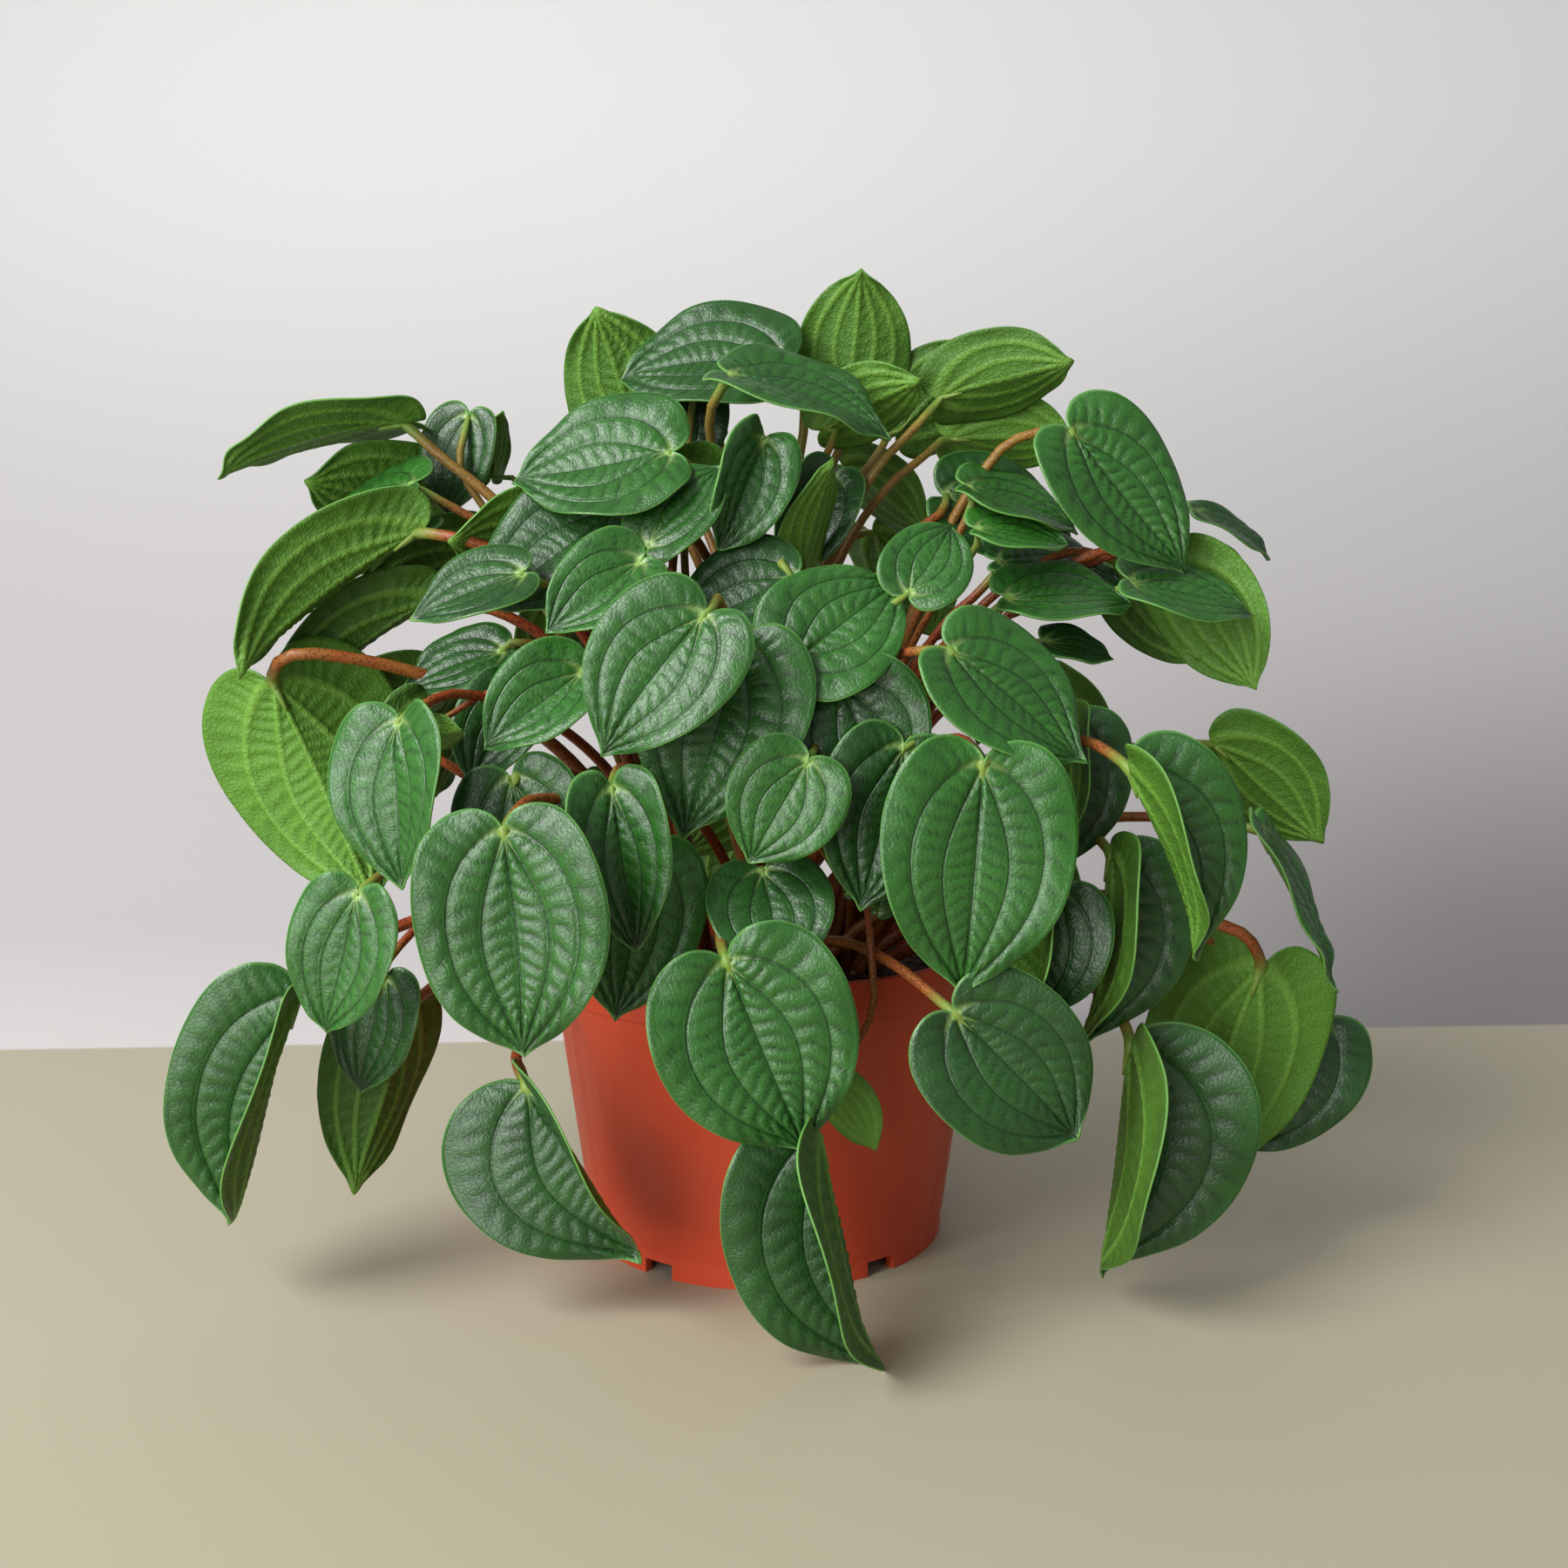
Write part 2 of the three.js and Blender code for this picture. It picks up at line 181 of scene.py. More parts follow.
def clouds(tree, coords, size, detail=2.0):
    # uneven patches this many millimetres across
    return addNode(tree, "ShaderNodeTexNoise", {
        "Vector": coords, "Scale": scaleFor(size), "Detail": detail}).outputs["Fac"]


def makeFloor():
    # painted board, matt: a table top that ends in front of a pale wall, with painted shade that darkens the
    # wall's foot and, more, its lower right
    material, tree, shader, coords = newMaterial("painted board")
    split = addNode(tree, "ShaderNodeSeparateXYZ", {"Vector": coords})
    # the table's far edge runs a little askew
    edge = calculated(tree, "MULTIPLY_ADD", split.outputs["X"], -studio["tableSkew"], split.outputs["Y"])
    beyond = ramp(tree, edge, studio["tableEnds"], studio["tableEnds"] + studio["edgeBlur"])
    # painted shade: the wall is darker at its foot and paler higher up
    pale = ramp(tree, split.outputs["Z"], 0.0, studio["wallPale"])
    # painted shade: darker low on the right, fanning out from a place in front and dying away higher up
    fanY, fanZ = studio["fanFrom"]
    away = calculated(tree, "SUBTRACT", split.outputs["Y"], fanY)
    rise = calculated(tree, "SUBTRACT", split.outputs["Z"], fanZ)
    sideways = ramp(tree, calculated(tree, "DIVIDE", split.outputs["X"], away), *studio["fanSide"])
    low = ramp(tree, calculated(tree, "DIVIDE", rise, away), *studio["fanUp"], 1.0, studio["fanTop"])
    paintedShade = calculated(tree, "MULTIPLY", sideways, low)
    wall = mixed(tree, pale, fromHex(studio["wallFoot"]), fromHex(studio["wallTop"]))
    wall = mixed(tree, paintedShade, wall, fromHex(studio["wallShade"]))
    tint = mixed(tree, beyond, fromHex(studio["table"]), wall)
    bump = addNode(tree, "ShaderNodeBump", {
        "Height": clouds(tree, coords, studio["grain"]), "Strength": 0.03, "Distance": 0.2 * mm})
    feed(tree, shader, {"Base Color": tint, "Normal": bump.outputs["Normal"], "Roughness": 0.6})
    bm = bmesh.new()
    reach, wallAt, sweep = studio["reach"], studio["wallAt"], studio["sweep"]
    profile = [(-reach, 0), (wallAt - sweep, 0)]
    for k in range(1, studio["sweepSteps"] + 1):
        angle = math.pi / 2 * k / studio["sweepSteps"]
        profile.append((wallAt - sweep + sweep * math.sin(angle), sweep * (1 - math.cos(angle))))
    profile.append((wallAt, studio["wallHeight"]))
    line = [bm.verts.new((-reach, y, z)) for y, z in profile]
    edges = [bm.edges.new(pair) for pair in zip(line, line[1:])]
    made = bmesh.ops.extrude_edge_only(bm, edges=edges)
    moved = [g for g in made["geom"] if isinstance(g, bmesh.types.BMVert)]
    bmesh.ops.translate(bm, verts=moved, vec=(2 * reach, 0, 0))
    for face in bm.faces:
        face.smooth = True
    bmesh.ops.recalc_face_normals(bm, faces=bm.faces)
    mesh = meshFrom(bm, "floor")
    mesh.materials.append(material)
    floor = bpy.data.objects.new("floor", mesh)
    scene.collection.objects.link(floor)


setCamera()
setLights()
makeFloor()
scene.view_settings.view_transform = "Standard"
print("stage ready")


potLook = {
    "wall": 2, "bandHeight": 14, "bandStep": 1.6, "footRadius": 62.5, "ledge": 8, "ledgeStep": 0.8,
    "footRing": 3.5, "lip": 3, "lipRound": 0.5,
    "notches": 5, "notchWidth": 11, "notchHeight": 5, "notchDepth": 16, "notchInset": 2, "firstNotch": -34,
    "holeRadius": 4, "holeCircle": 40, "holeSides": 32, "turns": 160,
    "round": 0.45, "roundSteps": 3, "roundFrom": 35, "smoothUpTo": 40,
    "colour": "CB4726", "deep": "B93C1E", "patch": 45, "flowWidth": 6, "flowLong": 50, "grain": 0.6,
}


def moulded():
    # polypropylene, injection moulded: an even orange-red with a soft sheen and faint upright flow marks
    material, tree, shader, coords = newMaterial("moulded polypropylene")
    tall = addNode(tree, "ShaderNodeMapping", {
        "Vector": coords, "Scale": (1, 1, potLook["flowWidth"] / potLook["flowLong"])}).outputs["Vector"]
    flow = clouds(tree, tall, potLook["flowWidth"])
    patch = clouds(tree, coords, potLook["patch"], 3.0)
    tint = mixed(tree, patch, fromHex(potLook["colour"]), fromHex(potLook["deep"]))
    gloss = ramp(tree, flow, 0.3, 0.7, 0.4, 0.54)
    height = calculated(tree, "ADD", flow, clouds(tree, coords, potLook["grain"]))
    bump = addNode(tree, "ShaderNodeBump", {"Height": height, "Strength": 0.12, "Distance": 0.3 * mm})
    feed(tree, shader, {
        "Base Color": tint, "Roughness": gloss, "Normal": bump.outputs["Normal"], "IOR": 1.49})
    return material


def makePot():
    low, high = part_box("pot")
    rim = (high.x - low.x) / 2 / mm
    top = high.z / mm
    band = top - potLook["bandHeight"]
    under = rim - potLook["bandStep"]
    foot, ledge, wall = potLook["footRadius"], potLook["ledge"], potLook["wall"]
    lip, lipRound = potLook["lip"], potLook["lipRound"]
    body = foot + potLook["ledgeStep"]
    inner = foot - potLook["footRing"]
    profile = [(0, ledge), (inner, ledge), (inner, 0), (foot, 0), (foot, ledge), (body, ledge),
               (under, band), (rim, band), (rim, top), (rim - lip, top),
               (rim - lip - lipRound, top - 2 * lipRound),
               (under - wall, band - lip), (body - wall, ledge + wall), (0, ledge + wall)]
    bm = bmesh.new()
    line = [bm.verts.new((r * mm, 0, z * mm)) for r, z in profile]
    edges = [bm.edges.new(pair) for pair in zip(line, line[1:])]
    bmesh.ops.spin(bm, geom=line + edges, cent=(0, 0, 0), axis=(0, 0, 1), angle=fullTurn,
                   steps=potLook["turns"], use_merge=True, use_duplicate=False)
    bmesh.ops.remove_doubles(bm, verts=bm.verts, dist=0.01 * mm)
    bmesh.ops.recalc_face_normals(bm, faces=bm.faces)
    mesh = meshFrom(bm, "plant_pot")
    cutter = bmesh.new()
    for k in range(potLook["notches"]):
        angle = math.radians(potLook["firstNotch"] + 360 * k / potLook["notches"])
        made = bmesh.ops.create_cube(cutter, size=1)
        around = Matrix.Rotation(angle, 4, "Z")
        shape = Matrix.Diagonal((
            potLook["notchWidth"] * mm, potLook["notchDepth"] * mm, 2 * potLook["notchHeight"] * mm, 1))
        place = around @ Matrix.Translation((0, -(foot - potLook["notchInset"]) * mm, 0)) @ shape
        bmesh.ops.transform(cutter, matrix=place, verts=made["verts"])
        radius = potLook["holeRadius"] * mm
        made = bmesh.ops.create_cone(
            cutter, cap_ends=True, segments=potLook["holeSides"], radius1=radius, radius2=radius,
            depth=4 * wall * mm)
        place = around @ Matrix.Translation((0, -potLook["holeCircle"] * mm, (ledge + wall / 2) * mm))
        bmesh.ops.transform(cutter, matrix=place, verts=made["verts"])
    tool = bpy.data.objects.new("notches", meshFrom(cutter, "notches"))
    scene.collection.objects.link(tool)
    pot = newPiece("plant_pot", mesh, [moulded()], ["pot"])
    cut = pot.modifiers.new("notches", "BOOLEAN")
    cut.object = tool
    cut.operation = "DIFFERENCE"
    cut.solver = "EXACT"
    soften = pot.modifiers.new("soften", "BEVEL")
    soften.width = potLook["round"] * mm
    soften.segments = potLook["roundSteps"]
    soften.limit_method = "ANGLE"
    soften.angle_limit = math.radians(potLook["roundFrom"])
    graph = bpy.context.evaluated_depsgraph_get()
    finished = bpy.data.meshes.new_from_object(pot.evaluated_get(graph))
    pot.modifiers.clear()
    pot.data = finished
    bpy.data.objects.remove(tool)
    finished.shade_smooth()
    finished.set_sharp_from_angle(angle=math.radians(potLook["smoothUpTo"]))


makePot()
print("pot made")


soilLook = {
    "seed": 4, "cells": 110, "bump": 1.6, "lump": 7, "edgeDrop": 4.5, "skirt": 6,
    "crumbs": 520, "straws": 90, "crumbSize": (0.9, 3.2), "offWall": 4,
    "crumbLong": (0.8, 1.7), "crumbWide": (0.6, 1.1), "crumbHigh": 0.6, "strawShape": (3.4, 0.28, 0.25),
    "spin": 6.28, "tilt": 0.4, "raised": 0.25, "rough": 0.05,
    "dark": "2A1B12", "mid": "4B3020", "pale": "8C6C45",
    "clump": 5, "fleck": 1.9, "fibre": 3.8,
}


def peat():
    # milled peat and bark: crumbly, dry on top, with straw-coloured flecks
    material, tree, shader, coords = newMaterial("peat and bark")
    clumps = clouds(tree, coords, soilLook["clump"], 6.0)
    flecks = addNode(tree, "ShaderNodeTexVoronoi", {"Vector": coords, "Scale": scaleFor(soilLook["fleck"])})
    ground = mixed(tree, ramp(tree, clumps, 0.35, 0.68), fromHex(soilLook["dark"]), fromHex(soilLook["mid"]))
    fleck = ramp(tree, flecks.outputs["Distance"], 0.1, 0.22, 0.5, 0.0)
    tint = mixed(tree, fleck, ground, fromHex(soilLook["pale"]))
    bump = addNode(tree, "ShaderNodeBump", {"Height": clumps, "Strength": 0.9, "Distance": 1.2 * mm})
    feed(tree, shader, {"Base Color": tint, "Normal": bump.outputs["Normal"], "Roughness": 0.95})
    return material


def bark():
    # chopped bark and straw: paler, fibrous bits that lie on the peat
    material, tree, shader, coords = newMaterial("chopped bark")
    patch = clouds(tree, coords, soilLook["fibre"], 4.0)
    tint = mixed(tree, ramp(tree, patch, 0.4, 0.62), fromHex(soilLook["mid"]), fromHex(soilLook["pale"]))
    bump = addNode(tree, "ShaderNodeBump", {"Height": patch, "Strength": 0.5, "Distance": 0.3 * mm})
    feed(tree, shader, {"Base Color": tint, "Normal": bump.outputs["Normal"], "Roughness": 0.85})
    return material


def makeSoil():
    low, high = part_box("soil")
    radius = (high.x - low.x) / 2
    crown = high.z
    edge = crown - soilLook["edgeDrop"] * mm

    def topAt(x, y):
        away = min(1, math.hypot(x, y) / radius)
        lumps = noise.fractal(Vector((x, y, 0)) / (soilLook["lump"] * mm), 1.0, 2.1, 4)
        return crown + (edge - crown) * away ** 2 + lumps * soilLook["bump"] * mm

    bm = bmesh.new()
    bmesh.ops.create_grid(bm, x_segments=soilLook["cells"], y_segments=soilLook["cells"], size=1)
    for v in bm.verts:
        x, y = v.co.x, v.co.y
        # the square grid is drawn in to a disc
        v.co.x = radius * x * math.sqrt(1 - y * y / 2)
        v.co.y = radius * y * math.sqrt(1 - x * x / 2)
        v.co.z = topAt(v.co.x, v.co.y)
    rimEdges = [e for e in bm.edges if e.is_boundary]
    made = bmesh.ops.extrude_edge_only(bm, edges=rimEdges)
    skirt = [g for g in made["geom"] if isinstance(g, bmesh.types.BMVert)]
    bmesh.ops.translate(bm, verts=skirt, vec=(0, 0, -soilLook["skirt"] * mm))
    bmesh.ops.contextual_create(bm, geom=[e for e in bm.edges if e.is_boundary])
    bmesh.ops.recalc_face_normals(bm, faces=bm.faces)
    for face in bm.faces:
        face.smooth = True
    newPiece("potting_soil", meshFrom(bm, "potting_soil"), [peat()], ["soil"])

    rng = random.Random(soilLook["seed"])
    bits = bmesh.new()
    for k in range(soilLook["crumbs"] + soilLook["straws"]):
        straw = k >= soilLook["crumbs"]
        angle = rng.uniform(0, fullTurn)
        away = (radius - soilLook["offWall"] * mm) * math.sqrt(rng.random())
        size = rng.uniform(*soilLook["crumbSize"]) * mm
        made = bmesh.ops.create_icosphere(bits, subdivisions=1, radius=size / 2)
        stretch = soilLook["strawShape"]
        if not straw:
            stretch = (rng.uniform(*soilLook["crumbLong"]), rng.uniform(*soilLook["crumbWide"]),
                       soilLook["crumbHigh"])
        x, y = away * math.cos(angle), away * math.sin(angle)
        turn = Matrix.Rotation(rng.uniform(0, soilLook["spin"]), 4, "Z")
        turn = turn @ Matrix.Rotation(rng.uniform(-soilLook["tilt"], soilLook["tilt"]), 4, "Y")
        place = Matrix.Translation((x, y, topAt(x, y) + soilLook["raised"] * size))
        bmesh.ops.transform(bits, matrix=place @ turn @ Matrix.Diagonal((*stretch, 1)), verts=made["verts"])
        for v in made["verts"]:
            v.co += Vector((rng.gauss(0, 1), rng.gauss(0, 1), rng.gauss(0, 1))) * size * soilLook["rough"]
    newPiece("bark_crumbs", meshFrom(bits, "bark_crumbs"), [bark()])


makeSoil()
print("soil made")


# Every blade solid is a fan from its stalk joint: nine spokes and three rings on the top face, the same
# on the underside, one rim, and a small pad that marks the underside on its right half.
fan = {"halfOutline": [(0, 1), (0.5, 0.8), (0.95, 0.5), (1, 0.14), (0.56, -0.17)],
       "rings": (0.34, 0.68, 1), "foldRound": 0.08}
lastSpoke = len(fan["halfOutline"]) - 1


def walkRing(ring, start, first):
    path = [start, first]
    while True:
        onward = [v for v in nextTo(path[-1]) & ring if v is not path[-2] and v not in path]
        if not onward:
            return path
        path.append(onward[0])


def arcs(ring, left, right):
    # the two ways round a ring from its left rim point to its right one
    found = []
    for first in nextTo(left) & ring:
        path = walkRing(ring, left, first)
        if right in path:
            found.append(path[:path.index(right) + 1])
    return found


def readFan(nodeName):
    bm = mergedCopy(nodeName)
    joint = max(bm.verts, key=lambda v: len(v.link_edges))
    pad = next(v for v in bm.verts if len(v.link_edges) == 3)
    steps = {joint: 0}
    for k in (1, 2, 3):
        reached = [v for v, away in steps.items() if away == k - 1]
        for v in reached:
            for w in nextTo(v) - {pad}:
                steps.setdefault(w, k)
    rings = [{v for v, away in steps.items() if away == k} for k in (1, 2, 3)]
    rims = [v for v in rings[0] if len(v.link_edges) == 4]
    halves = arcs(rings[0], rims[0], rims[1])
    marked = nextTo(pad)
    under = next(path for path in halves if marked & set(path))
    top = next(path for path in halves if path is not under)
    padAt = [i for i, v in enumerate(under) if v in marked and i != lastSpoke]
    if padAt[0] < lastSpoke:
        top = top[::-1]
    rows = [top]
    for k in (1, 2):
        left = next(v for v in nextTo(rows[-1][0]) if v in rings[k])
        right = next(v for v in nextTo(rows[-1][-1]) if v in rings[k])
        choices = arcs(rings[k], left, right)
        middle = rows[-1][lastSpoke]
        rows.append(next(path for path in choices if path[lastSpoke] in nextTo(middle)))
    cage = [(0, 0, Vector(joint.co))]
    for part, row in zip(fan["rings"], rows):
        for i, v in enumerate(row):
            spoke = i - lastSpoke
            across, along = fan["halfOutline"][abs(spoke)]
            cage.append((math.copysign(across, spoke) * part if spoke else 0, along * part, Vector(v.co)))
    length = (rows[0][lastSpoke].co - joint.co).length
    length += (rows[1][lastSpoke].co - rows[0][lastSpoke].co).length
    length += (rows[2][lastSpoke].co - rows[1][lastSpoke].co).length
    wide = (rows[2][1].co - joint.co).length
    halfWidth = math.sqrt(wide ** 2 - (fan["halfOutline"][3][1] * length) ** 2)
    bm.free()
    return cage, length, halfWidth


def softAbs(x):
    # a fold along the midrib with a rounded bottom
    return np.sqrt(x * x + fan["foldRound"] ** 2) - fan["foldRound"]


def terms(x, y, fold=np.abs):
    a = fold(x)
    return np.stack([np.ones_like(x), x, y, a, x * y, a * y, y * y, y ** 3, x * y * y, a * y * y], axis=-1)


class Posture:
    # a smooth map from the flat blade to where it hangs
    def __init__(self, weights, length, halfWidth):
        self.weights = weights
        self.length = length
        self.halfWidth = halfWidth

    def at(self, x, y):
        return terms(x, y, softAbs) @ self.weights

    def normals(self, x, y):
        h = 1e-3
        across = self.at(x + h, y) - self.at(x - h, y)
        along = self.at(x, y + h) - self.at(x, y - h)
        n = np.cross(along, across)
        return n / np.linalg.norm(n, axis=1)[:, None]

    def joint(self):
        return Vector(self.at(np.zeros(1), np.zeros(1))[0])

    def axes(self):
        zero = np.zeros(1)
        along = Vector((self.at(zero, zero + 0.1) - self.at(zero, zero))[0]).normalized()
        normal = Vector(self.normals(zero, zero + 0.05)[0])
        return along, normal

    def moved(self, turn, to, size, narrow=1):
        weights = self.weights.copy() @ np.array(turn.to_3x3()).T * size
        # every term that grows with the distance across the blade
        weights[[1, 3, 4, 5, 8, 9]] *= narrow
        made = Posture(weights, self.length * size, self.halfWidth * size * narrow)
        shift = np.array(to) - np.array(made.joint())
        made.weights[0] += shift
        return made


def readPosture(nodeName):
    cage, length, halfWidth = readFan(nodeName)
    x = np.array([c[0] for c in cage])
    y = np.array([c[1] for c in cage])
    places = np.array([c[2] for c in cage])
    weights, *_ = np.linalg.lstsq(terms(x, y), places, rcond=None)
    error = np.abs(terms(x, y) @ weights - places).max()
    return Posture(weights, length, halfWidth), error


leafNodes = sorted(name for name in nodes if name.startswith("leaf_"))
postures = {}
worst = 0
for name in leafNodes:
    postures[name], error = readPosture(name)
    worst = max(worst, error)
print("blades read:", len(postures), "largest misfit mm:", round(worst / mm, 2))


leafLook = {
    "seed": 11, "acrossStep": 1.15, "alongStep": 0.78, "thickness": 0.6, "usual": 55, "deepest": 1.15,
    "mainVeins": (0, 0.34, 0.68), "pointiness": (0.1, 0.8),
    "grooveDepth": 0.55, "grooveWidth": 0.6, "sideGroove": 0.8, "ripple": 1.1, "rippleTurns": (2.2, 3.6),
    "quiltDepth": 0.85, "quiltFlat": 0.5, "quiltVaries": (0.6, 1.3), "quiltSides": 0.5, "creaseSharp": 3,
    "rung": 3.8, "rungLean": 1.2, "rungCurve": 1.4, "waverSlow": (0.25, 9), "waverFast": (0.1, 23, 4),
    "swell": 0.7, "swellAlong": 5, "swellAcross": 3, "rippleEdge": 5,
    # how fast the relief dies out towards the margin, and towards the joint and tip
    "calmMargin": 7, "calmEnds": 2.5, "grooveEnds": 3,
    "tipCurl": 2.5, "curlVaries": (-0.2, 1), "tipFrom": 0.7, "lean": 0.05,
    "round": [(0, 0), (0.04, -0.05), (0.14, -0.095), (0.34, -0.12), (0.6, -0.085), (0.83, 0.03), (0.96, 0.2),
              (1, 0.4), (0.93, 0.62), (0.73, 0.8), (0.42, 0.93), (0.14, 0.99), (0, 1.02)],
    "pointed": [(0, 0), (0.04, -0.06), (0.14, -0.115), (0.36, -0.15), (0.63, -0.115), (0.86, 0), (0.98, 0.16),
                (0.98, 0.34), (0.85, 0.56), (0.6, 0.75), (0.31, 0.89), (0.11, 0.98), (0, 1.06)],
    # groove is the near-black colour of the painted shade in the creases and along the main veins
    "dark": "173A14", "fresh": "347124", "groove": "0A2009", "joint": "94B865", "edge": "63984F",
    "under": "578828", "underDeep": "2C4F14", "underVein": "6F9C3B",
    "patch": 18, "net": 1.9, "netWaver": 3.3, "pore": 0.8, "flatUnit": 10,
}


def nearVein(tree, thin, wide):
    # 1 on the main veins and 0 a little way off, then 1 on the rim: both by millimetres across the blade
    uv = addNode(tree, "ShaderNodeUVMap", uv_map="veins")
    split = addNode(tree, "ShaderNodeSeparateXYZ", {"Vector": uv.outputs["UV"]})
    spread = addNode(tree, "ShaderNodeAttribute", attribute_name="spread").outputs["Fac"]
    side = calculated(tree, "ABSOLUTE", calculated(tree, "MULTIPLY_ADD", split.outputs["X"], 2.0, -1.0))
    nearest = side
    for vein in leafLook["mainVeins"][1:]:
        away = calculated(tree, "ABSOLUTE", calculated(tree, "SUBTRACT", side, vein))
        nearest = calculated(tree, "MINIMUM", nearest, away)
    veins = ramp(tree, calculated(tree, "MULTIPLY", nearest, spread), thin, wide, 1.0, 0.0)
    toRim = calculated(tree, "MULTIPLY", calculated(tree, "SUBTRACT", 1.0, side), spread)
    return veins, ramp(tree, toRim, 0.05, 0.35, 1.0, 0.0)


def network(tree, cell):
    # fine vein net between the ribs: cell is its mesh in millimetres; the flat UV has ten units to the metre
    unit = leafLook["flatUnit"]
    flat = addNode(tree, "ShaderNodeUVMap", uv_map="flat").outputs["UV"]
    waver = addNode(tree, "ShaderNodeTexNoise", {
        "Vector": flat, "Scale": scaleFor(leafLook["netWaver"]) / unit, "Detail": 2.0}).outputs["Color"]
    warp = addNode(tree, "ShaderNodeVectorMath", {0: waver, 1: (0.03, 0.03, 0)}, operation="MULTIPLY")
    place = addNode(tree, "ShaderNodeVectorMath", {0: flat, 1: warp.outputs["Vector"]}, operation="ADD")
    cells = addNode(tree, "ShaderNodeTexVoronoi", {
        "Vector": place.outputs["Vector"], "Scale": scaleFor(cell) / unit,
    }, feature="DISTANCE_TO_EDGE", voronoi_dimensions="2D")
    return ramp(tree, cells.outputs["Distance"], 0.0, 0.22)


def bladeTone(tree, coords, deep, fresh, net, netDepth):
    # patchy leaf colour, newer leaves paler and leaves in shadow darker by painted shade, a little deeper
    # along the fine net
    age = addNode(tree, "ShaderNodeAttribute", attribute_name="age").outputs["Fac"]
    tone = calculated(tree, "MULTIPLY_ADD", clouds(tree, coords, leafLook["patch"], 4.0), 0.7, age)
    lightness = addNode(tree, "ShaderNodeMapRange", {"Value": tone, "From Min": 0.2, "From Max": 1.25})
    blade = mixed(tree, lightness.outputs["Result"], fromHex(leafLook[deep]), fromHex(leafLook[fresh]))
    return mixed(tree, ramp(tree, net, 0.0, 1.0, netDepth, 0.0), blade, fromHex(leafLook[deep]))


def leafTop():
    # living leaf, waxy upper skin: deep green with a broad satin sheen, quilted, pale at the joint and rim,
    # with painted shade in the creases and along the main veins
    material, tree, shader, coords = newMaterial("waxy leaf upper skin")
    veins, rim = nearVein(tree, 0.05, 0.5)
    net = network(tree, leafLook["net"])
    crease = addNode(tree, "ShaderNodeAttribute", attribute_name="crease").outputs["Fac"]
    toJoint = addNode(tree, "ShaderNodeAttribute", attribute_name="toJoint").outputs["Fac"]
    groove = fromHex(leafLook["groove"])
    colour = bladeTone(tree, coords, "dark", "fresh", net, 0.2)
    # painted shade: the creases between the pillows and the sunken main veins go dark
    colour = mixed(tree, calculated(tree, "MULTIPLY", crease, 0.8), colour, groove)
    colour = mixed(tree, calculated(tree, "MULTIPLY", veins, 0.6), colour, groove)
    colour = mixed(tree, ramp(tree, toJoint, 0.6, 2.4, 0.8, 0.0), colour, fromHex(leafLook["joint"]))
    # the ribs stay pale for a finger's breadth from the joint
    nearRib = calculated(tree, "MULTIPLY", veins, ramp(tree, toJoint, 2.0, 9.0, 0.35, 0.0))
    colour = mixed(tree, nearRib, colour, fromHex(leafLook["joint"]))
    colour = mixed(tree, calculated(tree, "MULTIPLY", rim, 0.6), colour, fromHex(leafLook["edge"]))
    pores = clouds(tree, coords, leafLook["pore"])
    gloss = ramp(tree, pores, 0.3, 0.7, 0.33, 0.42)
    netBump = addNode(tree, "ShaderNodeBump", {"Height": net, "Strength": 0.22, "Distance": 0.3 * mm})
    grain = addNode(tree, "ShaderNodeBump", {
        "Height": pores, "Strength": 0.3, "Distance": 0.15 * mm, "Normal": netBump.outputs["Normal"]})
    bump = addNode(tree, "ShaderNodeBump", {
        "Height": calculated(tree, "SUBTRACT", 1.0, veins), "Strength": 0.5, "Distance": 0.4 * mm,
        "Normal": grain.outputs["Normal"]})
    feed(tree, shader, {
        "Base Color": colour, "Roughness": gloss, "Normal": bump.outputs["Normal"], "IOR": 1.5})
    return material


def leafUnder():
    # living leaf, lower skin: yellow-green and matt, with the ribs standing proud and paler
    material, tree, shader, coords = newMaterial("matt leaf lower skin")
    veins, _ = nearVein(tree, 0.3, 1.1)
    net = network(tree, leafLook["net"])
    crease = addNode(tree, "ShaderNodeAttribute", attribute_name="crease").outputs["Fac"]
    pale = fromHex(leafLook["underVein"])
    colour = bladeTone(tree, coords, "underDeep", "under", net, 0.15)
    colour = mixed(tree, calculated(tree, "MULTIPLY", crease, 0.2), colour, pale)
    colour = mixed(tree, calculated(tree, "MULTIPLY", veins, 0.5), colour, pale)
    height = calculated(tree, "SUBTRACT", veins, net)
    ribs = addNode(tree, "ShaderNodeBump", {"Height": height, "Strength": 0.4, "Distance": 0.4 * mm})
    bump = addNode(tree, "ShaderNodeBump", {
        "Height": clouds(tree, coords, leafLook["pore"]), "Strength": 0.15, "Distance": 0.1 * mm,
        "Normal": ribs.outputs["Normal"]})
    feed(tree, shader, {
        "Base Color": colour, "Normal": bump.outputs["Normal"], "Roughness": 0.55, "IOR": 1.4})
    return material


def leafEdge():
    # the cut edge of a living leaf: a thin, pale, slightly clear line
    material, tree, shader, coords = newMaterial("leaf margin")
    patch = clouds(tree, coords, leafLook["patch"] / 4, 3.0)
    tint = mixed(tree, patch, fromHex(leafLook["edge"]), fromHex(leafLook["under"]))
    feed(tree, shader, {"Base Color": tint, "Roughness": 0.5})
    return material


leafSkins = [leafTop(), leafUnder(), leafEdge()]


